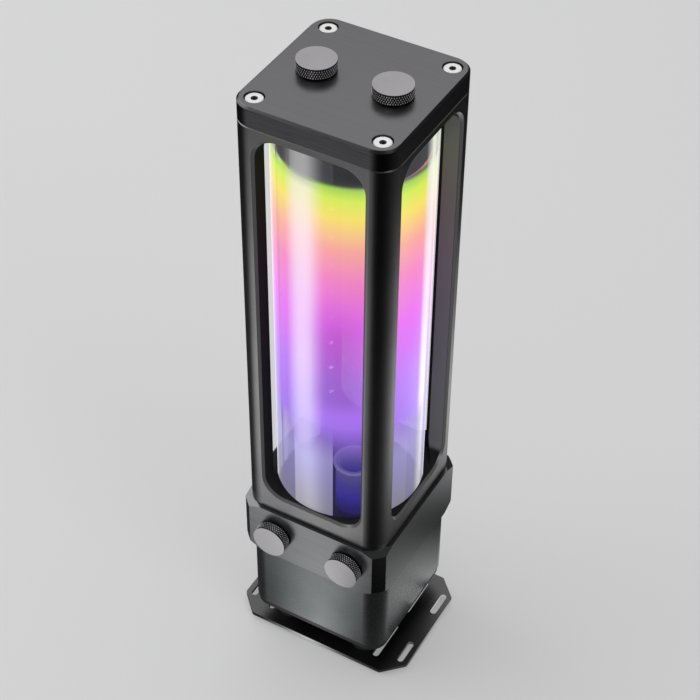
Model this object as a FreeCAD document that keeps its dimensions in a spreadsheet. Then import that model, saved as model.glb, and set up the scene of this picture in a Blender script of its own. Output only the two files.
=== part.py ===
import math
import os

import FreeCAD
import Part
import Sketcher
from FreeCAD import Vector

# Tower reservoir with a pump under it: a square metal frame with four tall windows round a clear
# tube, a screwed top cover with two plugged ports, a port block with two more plugged ports,
# the pump housing and a slotted base plate on rubber dampers. Millimetres, +Z up, front is -Y.

doc = FreeCAD.newDocument("TowerReservoir")
sheet = doc.addObject("Spreadsheet::Sheet", "Sizes")

sizeRows = [
    ("axisSetback", 2.825, "tube axis behind the middle of the footprint"),
    ("slimGap", 0.05, "radial clearance of a pin or a seal"),
    ("looseGap", 0.3, "clearance between parts that must not bind"),
    ("cornerRound", 9.5, "outer vertical corners of cover, frame and housing"),
    ("edgeBreak", 0.4, "small chamfer on machined edges"),
    # base plate and feet
    ("footRise", 2.5, "rubber foot, height"),
    ("footRadius", 4.0, "rubber foot, radius"),
    ("footInset", 6.3, "rubber feet, in from the outer slots"),
    ("footSetIn", 9.6, "rubber feet, in from the plate's front and rear"),
    ("baseThick", 2.0, "base plate, thickness"),
    ("baseWide", 97.0, "base plate, width"),
    ("baseDeep", 71.2, "base plate, depth"),
    ("baseCorner", 10.4, "base plate, cut corner"),
    ("baseCornerRound", 2.0, "rounding of the cut corners"),
    ("outerSlotInset", 4.4, "outer slots, middle in from the plate's sides"),
    ("outerSlotSetIn", 17.4, "outer slots, middle in from the plate's front and rear"),
    ("outerSlotLong", 14.5, "outer slots, length"),
    ("outerSlotWide", 3.3, "outer slots, width"),
    ("innerSlotOffset", 9.4, "inner slots, middle outside the damper screws"),
    ("innerSlotSetIn", 19.0, "inner slots, middle in from the plate's front and rear"),
    ("innerSlotLong", 24.0, "inner slots, length"),
    ("innerSlotWide", 3.5, "inner slots, width"),
    # dampers
    ("damperInset", 15.8, "dampers, middle in from the housing's sides"),
    ("damperRise", 12.5, "damper, height"),
    ("damperRadius", 7.0, "damper, radius at its ends"),
    ("damperWaist", 5.6, "damper, radius at its waist"),
    ("studRadius", 2.0, "damper studs and screws, radius"),
    ("studDepth", 5.0, "stud or screw, length inside the damper"),
    ("lowHeadRadius", 3.8, "low screw head under the base plate, radius"),
    ("lowHeadRise", 2.0, "low screw head, height"),
    # pump housing
    ("coverThick", 3.0, "bottom cover, thickness"),
    ("coverInset", 0.6, "bottom cover, inset from the housing sides"),
    ("housingInset", 0.2, "pump housing, sides in from the frame's sides"),
    ("housingSetIn", 1.5, "pump housing, front and rear in from the frame's"),
    ("housingRise", 44.0, "pump housing, height"),
    ("housingWall", 3.5, "pump housing, thinnest wall round its cavity"),
    ("housingRoof", 5.0, "pump housing, roof thickness"),
    ("cableHoleRadius", 4.0, "cable hole in the rear wall, radius"),
    ("cableHoleRise", 8.0, "cable hole above the housing's foot"),
    ("grommetReach", 1.6, "cable grommet, flange past its hole"),
    ("grommetWall", 1.6, "cable grommet, wall in its hole"),
    ("grommetLip", 1.2, "cable grommet, flange thickness"),
    # port block
    ("blockOverhang", 1.8, "port block, sides past the frame's sides"),
    ("blockCornerCut", 6.97, "port block, turned off across its corners"),
    ("blockRise", 31.0, "port block, height"),
    ("blockBevelTop", 2.2, "port block, drop of its coned corners, top"),
    ("blockBevelFoot", 3.2, "port block, drop of its coned corners, foot"),
    ("blockBevelReach", 4.0, "port block, coned corners, radial reach"),
    ("chamberInset", 8.0, "impeller chamber, in from the housing's cavity"),
    ("chamberWall", 1.5, "wall between the chamber and the port passages"),
    ("intakeRadius", 6.0, "intake from the tube to the chamber, radius"),
    ("passageRadius", 5.0, "passages behind the front ports, radius"),
    ("dropRadius", 4.5, "outlet drop into the chamber, radius"),
    ("dropShift", 3.3, "outlet drop, in from its port's middle"),
    ("dropAhead", 10.0, "outlet drop, distance ahead of the axis"),
    ("pipeAcross", 9.5, "standpipe, distance right of the axis"),
    ("pipeLead", 4.0, "standpipe, wall ahead of the intake"),
    ("pipeRadius", 9.0, "standpipe, outer radius"),
    ("pipeWall", 1.2, "standpipe, wall"),
    ("pipeRise", 29.0, "standpipe, height above the block"),
    ("pipeSeat", 3.0, "standpipe, depth in the block"),
    ("tubeSeat", 3.0, "tube groove in the block, depth"),
    # ports and plugs
    ("portRadius", 6.6, "port, radius over its thread"),
    ("portDepth", 12.0, "front ports, threaded depth"),
    ("portWall", 0.9, "front ports, wall to the tie bolts"),
    ("frontPortRise", 15.4, "front ports above the foot of the block"),
    ("portLand", 3.2, "top ports, wall to the boss"),
    ("plugGap", 0.25, "plug cap above the face it closes"),
    ("plugLip", 1.55, "plug cap, past the middle of its seal"),
    ("plugRise", 5.2, "plug cap, height"),
    ("plugEdge", 0.5, "plug cap, chamfer of its outer edge"),
    ("plugStub", 8.0, "plug thread, length"),
    ("plugBore", 4.0, "plug, radius of the hollow in its thread"),
    ("plugBoreDepth", 6.0, "plug, depth of that hollow"),
    ("plugThreadGap", 0.1, "plug thread, radial clearance in the port"),
    ("plugSealSit", 0.85, "plug seal, middle outside the port"),
    ("plugSealSection", 0.8, "plug seal, section radius"),
    ("plugSealRoom", 0.9, "plug seal recess, half width"),
    ("plugSealDepth", 1.45, "plug seal recess, depth"),
    # frame
    ("frameSquare", 76.0, "frame and top cover, across flats"),
    ("frameRise", 227.0, "frame, height"),
    ("footRail", 10.5, "frame, height of the rail under the windows"),
    ("headRail", 4.3, "frame, height of the rail over the windows"),
    ("postWide", 11.6, "posts beside the windows, width"),
    ("windowRound", 11.0, "window, corner radius"),
    ("windowEdge", 1.2, "window, chamfer of its outer edge"),
    ("reliefGap", 3.5, "relief inside the posts, past the tube"),
    ("boltLand", 0.9264, "wall between the bolts and that relief"),
    ("boltRadius", 2.0, "cover screws and tie bolts, radius"),
    ("boltHole", 2.2, "clearance hole for them, radius"),
    ("boltBite", 10.0, "tie bolts, length in the frame"),
    ("boltHeadRadius", 3.7, "tie bolts, radius of the countersunk head"),
    # tube and seals
    ("railWall", 1.7, "thinnest wall of the rails round the tube"),
    ("tubeWall", 2.5, "tube, wall"),
    ("footSealThick", 0.8, "flat seal under the tube, thickness"),
    ("headSealSection", 1.2, "ring seal inside the tube's head, section radius"),
    ("headSealDrop", 2.2, "ring seal's middle below the cover"),
    # top cover
    ("lidRise", 10.0, "top cover, thickness"),
    ("lidEdge", 1.0, "top cover, chamfer of the top edge"),
    ("bossDrop", 20.3, "boss under the cover, depth inside the tube"),
    ("bossWall", 5.2, "boss, wall"),
    ("screwPocketGap", 0.5, "cover screw counterbore, wider than the head"),
    ("screwPocketSink", 0.6, "cover screw heads, below the top face"),
    ("screwHeadRadius", 4.0, "cover screw head, radius"),
    ("screwHeadRise", 3.4, "cover screw head, height"),
    ("screwHexAcross", 2.9, "cover screw, socket across flats"),
    ("screwHexDepth", 2.2, "cover screw, socket depth"),
    ("screwBite", 8.0, "cover screws, length in the frame"),
    # light strip
    ("stripSeatGap", 0.3, "light strip, behind it to the relief"),
    ("stripThick", 0.6, "light strip, board thickness"),
    ("stripWide", 4.8, "light strip, width"),
    ("stripEnd", 3.1, "light strip, short of the window's ends"),
    ("stripLead", 3.0, "light strip, bare at its ends"),
    ("lampCount", 12, "lamps on the strip"),
    ("lampWide", 3.5, "lamp, width"),
    ("lampThick", 1.3, "lamp, thickness"),
    # pump
    ("canRadius", 15.0, "rotor can, outer radius"),
    ("canWall", 1.0, "rotor can, wall"),
    ("canDepth", 22.0, "rotor can, depth below the block"),
    ("canFlangeGap", 0.5, "rotor can, flange short of the chamber"),
    ("canFlangeThick", 1.2, "rotor can, flange thickness"),
    ("shaftRadius", 1.5, "shaft, radius"),
    ("canFloor", 2.6, "rotor can, height of the shaft seat"),
    ("canSeatWall", 2.0, "rotor can, wall of the shaft seat"),
    ("magnetGap", 0.6, "rotor magnet, gap to the can's wall and seat"),
    ("magnetShort", 3.8, "rotor magnet, short of the block's foot"),
    ("discGap", 1.0, "impeller disc, over the can's flange"),
    ("impellerRadius", 17.0, "impeller, radius"),
    ("discThick", 1.6, "impeller disc, thickness"),
    ("bladeClear", 0.7, "impeller blades, under the chamber's roof"),
    ("bladeThick", 1.4, "impeller blade, thickness"),
    ("bladeSink", 0.2, "impeller blade, sunk into its disc"),
    ("bladeCount", 6, "impeller blades"),
    ("hubRadius", 4.6, "impeller hub, radius"),
    ("hubTaper", 1.0, "impeller hub, narrower at its head"),
    ("statorGap", 4.0, "stator core, in from the cavity"),
    ("statorYoke", 4.0, "stator core, width of the outer ring"),
    ("statorRise", 12.0, "stator core, height"),
    ("poleWide", 5.0, "stator pole, width"),
    ("poleCount", 6, "stator poles"),
    ("coilThick", 2.0, "coil, thickness round its pole"),
    ("boardGap", 3.0, "driver board, in from the cavity"),
    ("boardThick", 1.6, "driver board, thickness"),
    ("boardPost", 6.0, "posts under the driver board, height"),
    ("boardPostRadius", 2.5, "posts under the driver board, radius"),
    ("boardPostInset", 6.0, "posts under the driver board, in from its rim"),
    ("blockSealLand", 2.0, "seal between block and housing, outside the chamber"),
    ("blockSealSection", 1.2, "seal between block and housing, section radius"),
]

size = {}
for rowNumber, (alias, amount, note) in enumerate(sizeRows, 1):
    sheet.set("A%d" % rowNumber, note)
    sheet.set("B%d" % rowNumber, str(amount))
    sheet.setAlias("B%d" % rowNumber, alias)
    size[alias] = amount
doc.recompute()


class Span:
    # a length that keeps its number together with the sheet formula it comes from
    def __init__(self, text, value):
        self.text = text
        self.value = value

    def __add__(self, other):
        o = span(other)
        return Span("(%s + %s)" % (self.text, o.text), self.value + o.value)

    def __sub__(self, other):
        o = span(other)
        return Span("(%s - %s)" % (self.text, o.text), self.value - o.value)

    def __mul__(self, factor):
        return Span("(%s * %s)" % (self.text, factor), self.value * factor)

    def __truediv__(self, factor):
        return Span("(%s / %s)" % (self.text, factor), self.value / factor)

    def __neg__(self):
        return Span("(-1 * %s)" % self.text, -self.value)


def span(x):
    return x if isinstance(x, Span) else Span("%.6f" % x, float(x))


class Named:
    pass


S = Named()
for alias in size:
    setattr(S, alias, Span("Sizes." + alias, size[alias]))

# levels from the floor up
zBase = S.footRise
zDamper = zBase + S.baseThick
zCover = zDamper + S.damperRise
zHousing = zCover + S.coverThick
zBlock = zHousing + S.housingRise
zFrame = zBlock + S.blockRise
zLid = zFrame + S.frameRise
zTop = zLid + S.lidRise
zWindow = zFrame + S.footRail

# plan sizes, all from the frame's square, so that the pieces keep together
rootTwo = math.sqrt(2)
tubeRadius = S.frameSquare / 2 - S.railWall - S.looseGap
tubeBore = tubeRadius - S.tubeWall
postRelief = tubeRadius + S.reliefGap
boltSpacing = (postRelief + S.boltRadius + S.boltLand) * rootTwo
windowWide = S.frameSquare - S.postWide * 2
windowTall = S.frameRise - S.footRail - S.headRail
housingWide = S.frameSquare - S.housingInset * 2
housingDeep = S.frameSquare - S.housingSetIn * 2
cavityRadius = housingDeep / 2 - S.housingWall
blockSquare = S.frameSquare + S.blockOverhang * 2
frontFace = blockSquare / 2
blockRound = blockSquare * rootTwo - S.blockCornerCut
outerSlotAcross = S.baseWide - S.outerSlotInset * 2
outerSlotDeep = S.baseDeep - S.outerSlotSetIn * 2
damperSpacing = housingWide - S.damperInset * 2
innerSlotAcross = damperSpacing + S.innerSlotOffset * 2
innerSlotDeep = S.baseDeep - S.innerSlotSetIn * 2

# ports, plugs and passages
portLevel = zBlock + S.frontPortRise
portX = boltSpacing / 2 - S.boltHole - S.portRadius - S.portWall
bossRadius = tubeBore - S.looseGap
topX = bossRadius - S.bossWall - S.portRadius - S.portLand
plugSealRadius = S.portRadius + S.plugSealSit
plugRadius = plugSealRadius + S.plugLip
chamberDepth = S.frontPortRise - S.passageRadius - S.chamberWall
chamberRadius = cavityRadius - S.chamberInset
blockSealRadius = chamberRadius + S.blockSealLand + S.blockSealSection
pipeAhead = S.pipeRadius + S.pipeLead
screwPocket = S.screwHeadRadius + S.screwPocketGap
screwPocketDepth = S.screwHeadRise + S.screwPocketSink


def bind(obj, prop, amount):
    obj.setExpression(prop, span(amount).text)


def settle():
    doc.recompute()


def place(obj, x=0, y=0, z=0):
    x, y, z = span(x), span(y), span(z)
    obj.Placement.Base = Vector(x.value, y.value, z.value)
    bind(obj, "Placement.Base.x", x)
    bind(obj, "Placement.Base.y", y)
    bind(obj, "Placement.Base.z", z)


def block(name, wide, deep, tall, x=0, y=0, z=0):
    # a box centred on x, y and standing on z
    obj = doc.addObject("Part::Box", name)
    wide, deep, tall = span(wide), span(deep), span(tall)
    bind(obj, "Length", wide)
    bind(obj, "Width", deep)
    bind(obj, "Height", tall)
    place(obj, span(x) - wide / 2, span(y) - deep / 2, z)
    return obj


def rod(name, radius, length, x=0, y=0, z=0, along="z"):
    obj = doc.addObject("Part::Cylinder", name)
    bind(obj, "Radius", radius)
    bind(obj, "Height", length)
    if along == "y":
        obj.Placement.Rotation = FreeCAD.Rotation(Vector(1, 0, 0), -90)
    if along == "x":
        obj.Placement.Rotation = FreeCAD.Rotation(Vector(0, 1, 0), 90)
    place(obj, x, y, z)
    return obj


def cone(name, footRadius, headRadius, tall, x=0, y=0, z=0):
    obj = doc.addObject("Part::Cone", name)
    bind(obj, "Radius1", footRadius)
    bind(obj, "Radius2", headRadius)
    bind(obj, "Height", tall)
    place(obj, x, y, z)
    return obj


def ring(name, radius, section, x=0, y=0, z=0, along="z"):
    obj = doc.addObject("Part::Torus", name)
    bind(obj, "Radius1", radius)
    bind(obj, "Radius2", section)
    if along == "y":
        obj.Placement.Rotation = FreeCAD.Rotation(Vector(1, 0, 0), -90)
    place(obj, x, y, z)
    return obj


def fuse(name, parts):
    obj = doc.addObject("Part::MultiFuse", name)
    obj.Shapes = parts
    return obj


def cut(name, base, tools):
    tool = tools[0] if len(tools) == 1 else fuse(name + "Tools", tools)
    obj = doc.addObject("Part::Cut", name)
    obj.Base = base
    obj.Tool = tool
    return obj


def common(name, parts):
    obj = doc.addObject("Part::MultiCommon", name)
    obj.Shapes = parts
    return obj


def corners(spacingX, spacingY=None):
    halfX = span(spacingX) / 2
    halfY = halfX if spacingY is None else span(spacingY) / 2
    return [(-halfX, -halfY), (halfX, -halfY), (halfX, halfY), (-halfX, halfY)]


def newBody(name):
    return doc.addObject("PartDesign::Body", name)


def newSketch(body, name, role="XY_Plane", offset=0):
    sk = body.newObject("Sketcher::SketchObject", name)
    plane = [o for o in body.Origin.OriginFeatures if o.Role == role][0]
    sk.AttachmentSupport = [(plane, "")]
    sk.MapMode = "FlatFace"
    offset = span(offset)
    sk.AttachmentOffset = FreeCAD.Placement(Vector(0, 0, offset.value), FreeCAD.Rotation())
    bind(sk, "AttachmentOffset.Base.z", offset)
    return sk


def pin(sk, kind, *args):
    # a dimension of the sketch, tied to the sheet
    amount = span(args[-1])
    number = sk.addConstraint(Sketcher.Constraint(kind, *args[:-1], amount.value))
    sk.setExpression("Constraints[%d]" % number, amount.text)


def drawCircle(sk, radius, x=0, y=0):
    radius, x, y = span(radius), span(x), span(y)
    circle = Part.Circle(Vector(x.value, y.value, 0), Vector(0, 0, 1), radius.value)
    n = sk.addGeometry(circle, False)
    pin(sk, "Radius", n, radius)
    if x.value == 0 and y.value == 0:
        sk.addConstraint(Sketcher.Constraint("Coincident", n, 3, -1, 1))
    else:
        pin(sk, "DistanceX", -1, 1, n, 3, x)
        pin(sk, "DistanceY", -1, 1, n, 3, y)
    return n


def drawRounded(sk, wide, tall, radius, x=0, y=0):
    # a rectangle with rounded corners, centred on x, y
    wide, tall, radius, x, y = span(wide), span(tall), span(radius), span(x), span(y)
    left, right = x - wide / 2, x + wide / 2
    foot, head = y - tall / 2, y + tall / 2
    a, b, c, d, r = left.value, right.value, foot.value, head.value, radius.value
    n = sk.addGeometry([
        Part.LineSegment(Vector(a + r, c, 0), Vector(b - r, c, 0)),
        Part.LineSegment(Vector(b, c + r, 0), Vector(b, d - r, 0)),
        Part.LineSegment(Vector(b - r, d, 0), Vector(a + r, d, 0)),
        Part.LineSegment(Vector(a, d - r, 0), Vector(a, c + r, 0)),
        Part.ArcOfCircle(Part.Circle(Vector(b - r, c + r, 0), Vector(0, 0, 1), r),
                         -math.pi / 2, 0),
        Part.ArcOfCircle(Part.Circle(Vector(b - r, d - r, 0), Vector(0, 0, 1), r),
                         0, math.pi / 2),
        Part.ArcOfCircle(Part.Circle(Vector(a + r, d - r, 0), Vector(0, 0, 1), r),
                         math.pi / 2, math.pi),
        Part.ArcOfCircle(Part.Circle(Vector(a + r, c + r, 0), Vector(0, 0, 1), r),
                         math.pi, 3 * math.pi / 2),
    ], False)[0]
    add = sk.addConstraint
    for line, arc in ((0, 4), (1, 5), (2, 6), (3, 7)):
        add(Sketcher.Constraint("Tangent", n + line, 2, n + arc, 1))
        add(Sketcher.Constraint("Tangent", n + arc, 2, n + (line + 1) % 4, 1))
    for line in (0, 2):
        add(Sketcher.Constraint("Horizontal", n + line))
    for line in (1, 3):
        add(Sketcher.Constraint("Vertical", n + line))
    for arc in (5, 6, 7):
        add(Sketcher.Constraint("Equal", n + 4, n + arc))
    pin(sk, "Radius", n + 4, radius)
    pin(sk, "DistanceX", -1, 1, n + 1, 1, right)
    pin(sk, "DistanceX", -1, 1, n + 3, 1, left)
    pin(sk, "DistanceY", -1, 1, n, 1, foot)
    pin(sk, "DistanceY", -1, 1, n + 2, 1, head)
    return n


def drawSlot(sk, wide, long, x, y):
    # a slot along Y
    wide, long, x, y = span(wide), span(long), span(x), span(y)
    r = wide / 2
    low, high = y - (long / 2 - r), y + (long / 2 - r)
    n = sk.addGeometry([
        Part.LineSegment(Vector((x + r).value, low.value, 0), Vector((x + r).value, high.value, 0)),
        Part.ArcOfCircle(Part.Circle(Vector(x.value, high.value, 0), Vector(0, 0, 1), r.value),
                         0, math.pi),
        Part.LineSegment(Vector((x - r).value, high.value, 0), Vector((x - r).value, low.value, 0)),
        Part.ArcOfCircle(Part.Circle(Vector(x.value, low.value, 0), Vector(0, 0, 1), r.value),
                         math.pi, 2 * math.pi),
    ], False)[0]
    add = sk.addConstraint
    add(Sketcher.Constraint("Tangent", n, 2, n + 1, 1))
    add(Sketcher.Constraint("Tangent", n + 1, 2, n + 2, 1))
    add(Sketcher.Constraint("Tangent", n + 2, 2, n + 3, 1))
    add(Sketcher.Constraint("Tangent", n + 3, 2, n, 1))
    add(Sketcher.Constraint("Vertical", n))
    pin(sk, "Radius", n + 1, r)
    pin(sk, "DistanceX", -1, 1, n + 1, 3, x)
    pin(sk, "DistanceY", -1, 1, n + 1, 3, high)
    pin(sk, "DistanceY", -1, 1, n + 3, 3, low)
    return n


def drawOutline(sk, points):
    # a closed outline of straight lines, each corner tied to the sheet
    points = [(span(px), span(py)) for px, py in points]
    count = len(points)
    first = None
    for k in range(count):
        p, q = points[k], points[(k + 1) % count]
        n = sk.addGeometry(Part.LineSegment(Vector(p[0].value, p[1].value, 0),
                                            Vector(q[0].value, q[1].value, 0)), False)
        first = n if first is None else first
    for k in range(count):
        after = first + (k + 1) % count
        sk.addConstraint(Sketcher.Constraint("Coincident", first + k, 2, after, 1))
    for k in range(count):
        px, py = points[k]
        if px.value == 0 and px.text == "0.000000":
            sk.addConstraint(Sketcher.Constraint("PointOnObject", first + k, 1, -2))
        else:
            pin(sk, "DistanceX", -1, 1, first + k, 1, px)
        pin(sk, "DistanceY", -1, 1, first + k, 1, py)
    return first


def pad(body, sk, length, name):
    f = body.newObject("PartDesign::Pad", name)
    f.Profile = sk
    bind(f, "Length", length)
    settle()
    return f


def pocket(body, sk, length, name, upward=False, both=False):
    f = body.newObject("PartDesign::Pocket", name)
    f.Profile = sk
    bind(f, "Length", length)
    f.Reversed = upward
    if both:
        f.SideType = "Symmetric"
    before = f.BaseFeature.Shape.Volume
    settle()
    if f.Shape.Volume > before - 0.01:
        raise RuntimeError("pocket %s cuts nothing" % name)
    return f


def turn(body, points, name):
    # a solid of revolution about Z from an outline in radius and height
    sk = newSketch(body, name + "Outline", "XZ_Plane")
    drawOutline(sk, points)
    f = body.newObject("PartDesign::Revolution", name)
    f.Profile = sk
    f.ReferenceAxis = (sk, ["V_Axis"])
    f.Angle = 360
    settle()
    return f


def edgesOf(feature, test):
    return ["Edge%d" % (k + 1) for k, e in enumerate(feature.Shape.Edges) if test(e)]


def breakEdges(body, feature, test, amount, name, kind="PartDesign::Chamfer"):
    names = edgesOf(feature, test)
    if not names:
        raise RuntimeError("no edge found for " + name)
    f = body.newObject(kind, name)
    f.Base = (feature, names)
    bind(f, "Size" if kind.endswith("Chamfer") else "Radius", amount)
    settle()
    return f


def near(a, b):
    return abs(a - b) < 0.001


def flatAt(z):
    return lambda e: near(e.BoundBox.ZMin, z) and near(e.BoundBox.ZMax, z)


# base plate with cut corners, four short slots and four long ones
basePlate = newBody("BasePlate")
sk = newSketch(basePlate, "BaseOutline", "XY_Plane", zBase)
bx, by, bc = S.baseWide / 2, S.baseDeep / 2, S.baseCorner
drawOutline(sk, [(-bx + bc, -by), (bx - bc, -by), (bx, -by + bc), (bx, by - bc),
                 (bx - bc, by), (-bx + bc, by), (-bx, by - bc), (-bx, -by + bc)])
feature = pad(basePlate, sk, S.baseThick, "BasePad")
feature = breakEdges(basePlate, feature,
                     lambda e: near(e.BoundBox.XLength, 0) and near(e.BoundBox.YLength, 0),
                     S.baseCornerRound, "BaseRounding", "PartDesign::Fillet")
sk = newSketch(basePlate, "SlotOutlines", "XY_Plane", zDamper)
for x, y in corners(outerSlotAcross, outerSlotDeep):
    drawSlot(sk, S.outerSlotWide, S.outerSlotLong, x, y)
for x, y in corners(innerSlotAcross, innerSlotDeep):
    drawSlot(sk, S.innerSlotWide, S.innerSlotLong, x, y)
for x, y in corners(damperSpacing):
    drawCircle(sk, S.studRadius + S.slimGap * 3, x, y)
pocket(basePlate, sk, S.baseThick, "Slots")

# rubber feet under it
footAcross = outerSlotAcross - S.footInset * 2
footDeep = S.baseDeep - S.footSetIn * 2
feet = fuse("Feet", [rod("Foot%d" % k, S.footRadius, S.footRise, x, y, 0)
                     for k, (x, y) in enumerate(corners(footAcross, footDeep))])

# waisted rubber dampers between the base plate and the pump
damperPieces = []
for k, (x, y) in enumerate(corners(damperSpacing)):
    low = cone("DamperLow%d" % k, S.damperRadius, S.damperWaist, S.damperRise / 2, x, y, zDamper)
    high = cone("DamperHigh%d" % k, S.damperWaist, S.damperRadius, S.damperRise / 2,
                x, y, zDamper + S.damperRise / 2)
    deep = S.studDepth + S.looseGap
    bores = [rod("DamperBoreLow%d" % k, S.studRadius + S.slimGap, deep, x, y, zDamper),
             rod("DamperBoreHigh%d" % k, S.studRadius + S.slimGap, deep, x, y, zCover - deep)]
    damperPieces.append(cut("Damper%d" % k, fuse("DamperSolid%d" % k, [low, high]), bores))
dampers = fuse("Dampers", damperPieces)

# low-head screws from under the base plate, and studs up into the bottom cover
lowScrews = []
studs = []
for k, (x, y) in enumerate(corners(damperSpacing)):
    head = rod("LowHead%d" % k, S.lowHeadRadius, S.lowHeadRise, x, y, zBase - S.lowHeadRise)
    shank = rod("LowShank%d" % k, S.studRadius, S.baseThick + S.studDepth, x, y, zBase)
    lowScrews.append(fuse("LowScrew%d" % k, [head, shank]))
    studs.append(rod("Stud%d" % k, S.studRadius, S.studDepth + S.coverThick,
                     x, y, zCover - S.studDepth))
lowScrewSet = fuse("LowScrews", lowScrews)
studSet = fuse("Studs", studs)

# black bottom cover that closes the pump housing, with posts for the driver board
boardRadius = cavityRadius - S.boardGap
postCircle = boardRadius - S.boardPostInset
bottomCover = newBody("BottomCover")
sk = newSketch(bottomCover, "CoverOutline", "XY_Plane", zCover)
drawRounded(sk, housingWide - S.coverInset * 2, housingDeep - S.coverInset * 2,
            S.cornerRound - S.coverInset)
pad(bottomCover, sk, S.coverThick, "CoverPad")
sk = newSketch(bottomCover, "BoardPosts", "XY_Plane", zHousing)
for x, y in ((postCircle, 0), (-postCircle, 0), (0, postCircle), (0, -postCircle)):
    drawCircle(sk, S.boardPostRadius, x, y)
pad(bottomCover, sk, S.boardPost, "PostPad")
sk = newSketch(bottomCover, "CoverHoles", "XY_Plane", zHousing)
for x, y in corners(damperSpacing):
    drawCircle(sk, S.studRadius + S.slimGap, x, y)
for x, y in corners(boltSpacing):
    drawCircle(sk, S.boltHole, x, y)
pocket(bottomCover, sk, S.coverThick, "CoverHolePocket")
coverSinks = [cone("CoverSink%d" % k, S.boltHeadRadius + S.slimGap * 2, S.boltHole,
                   S.boltHeadRadius - S.boltRadius, x, y, zCover)
              for k, (x, y) in enumerate(corners(boltSpacing))]
coverSunk = cut("CoverSunk", bottomCover, coverSinks)

# pump housing, an open-bottomed square can with thick corners
housing = newBody("PumpHousing")
sk = newSketch(housing, "HousingOutline", "XY_Plane", zHousing)
drawRounded(sk, housingWide, housingDeep, S.cornerRound)
feature = pad(housing, sk, S.housingRise, "HousingPad")
feature = breakEdges(housing, feature, flatAt(zHousing.value), S.edgeBreak, "HousingEdge")
sk = newSketch(housing, "CavityOutline", "XY_Plane", zHousing)
drawCircle(sk, cavityRadius)
pocket(housing, sk, S.housingRise - S.housingRoof, "Cavity", upward=True)
sk = newSketch(housing, "HousingHoles", "XY_Plane", zBlock)
drawCircle(sk, S.canRadius + S.looseGap)
for x, y in corners(boltSpacing):
    drawCircle(sk, S.boltHole, x, y)
pocket(housing, sk, S.housingRise, "HousingHolePocket")
sk = newSketch(housing, "CableHole", "XZ_Plane", 0)
drawCircle(sk, S.cableHoleRadius, 0, zHousing + S.cableHoleRise)
pocket(housing, sk, housingDeep / 2, "CablePocket")

# cable grommet, flanged on both sides of the rear wall
rearWall = housingDeep / 2
zCable = zHousing + S.cableHoleRise
grommetRim = rod("GrommetRim", S.cableHoleRadius + S.grommetReach, S.grommetLip,
                 0, rearWall, zCable, "y")
grommetNeck = rod("GrommetNeck", S.cableHoleRadius - S.slimGap,
                  rearWall - cavityRadius + S.grommetLip / 2,
                  0, cavityRadius, zCable, "y")
grommetHole = rod("GrommetHole", S.cableHoleRadius - S.grommetWall, housingDeep, 0, 0, zCable, "y")
grommet = cut("Grommet", fuse("GrommetSolid", [grommetRim, grommetNeck]), [grommetHole])

# port block: square with coned corners, two front ports, passages, chamber and seats
blockBody = newBody("BlockTurned")
half = blockRound / 2
reach = S.blockBevelReach
turn(blockBody, [(0, zBlock), (half - reach, zBlock), (half, zBlock + S.blockBevelFoot),
                 (half, zFrame - S.blockBevelTop), (half - reach, zFrame), (0, zFrame)],
     "BlockRevolved")
blockSolid = common("BlockSolid", [blockBody, block("BlockFlats", blockSquare, blockSquare,
                                                    S.blockRise, 0, 0, zBlock)])
blockCuts = [
    rod("Chamber", chamberRadius, chamberDepth, 0, 0, zBlock),
    rod("Intake", S.intakeRadius, S.blockRise, 0, 0, zBlock),
    rod("PortLeft", S.portRadius, S.portDepth, -portX, -frontFace, portLevel, "y"),
    rod("PortRight", S.portRadius, S.portDepth, portX, -frontFace, portLevel, "y"),
    rod("PassageLeft", S.passageRadius, frontFace - S.dropAhead, -portX, -frontFace,
        portLevel, "y"),
    rod("PassageRight", S.passageRadius, frontFace - pipeAhead, portX, -frontFace,
        portLevel, "y"),
    rod("PassageCross", S.passageRadius, portX - S.pipeAcross, S.pipeAcross, -pipeAhead,
        portLevel, "x"),
    rod("OutletDrop", S.dropRadius, S.frontPortRise, S.dropShift - portX, -S.dropAhead, zBlock),
    rod("ReturnRise", S.pipeRadius - S.pipeWall, zFrame - portLevel, S.pipeAcross, -pipeAhead,
        portLevel),
    rod("PipeSeat", S.pipeRadius + S.slimGap, S.pipeSeat, S.pipeAcross, -pipeAhead,
        zFrame - S.pipeSeat),
    cut("TubeGroove",
        rod("GrooveOuter", tubeRadius + S.looseGap / 2, S.tubeSeat, 0, 0, zFrame - S.tubeSeat),
        [rod("GrooveInner", tubeBore - S.looseGap / 2, S.tubeSeat, 0, 0, zFrame - S.tubeSeat)]),
    cut("SealGroove",
        rod("SealOuter", blockSealRadius + S.blockSealSection + S.slimGap,
            S.blockSealSection * 2 + S.slimGap, 0, 0, zBlock),
        [rod("SealInner", blockSealRadius - S.blockSealSection - S.slimGap,
             S.blockSealSection * 2 + S.slimGap, 0, 0, zBlock)]),
] + [rod("BlockBolt%d" % k, S.boltHole, S.blockRise, x, y, zBlock)
     for k, (x, y) in enumerate(corners(boltSpacing))]
portBlock = cut("PortBlock", blockSolid, blockCuts)
blockSeal = ring("BlockSeal", blockSealRadius, S.blockSealSection, 0, 0,
                 zBlock + S.blockSealSection + S.slimGap / 2)

# countersunk tie bolts from the bottom cover up into the frame's foot
tieBolts = []
for k, (x, y) in enumerate(corners(boltSpacing)):
    sink = S.boltHeadRadius - S.boltRadius
    head = cone("TieHead%d" % k, S.boltHeadRadius, S.boltRadius, sink, x, y, zCover)
    shank = rod("TieShank%d" % k, S.boltRadius, zFrame - zCover + S.boltBite - S.slimGap,
                x, y, zCover + S.slimGap)
    tieBolts.append(fuse("TieBolt%d" % k, [head, shank]))
tieBoltSet = fuse("TieBolts", tieBolts)

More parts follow.
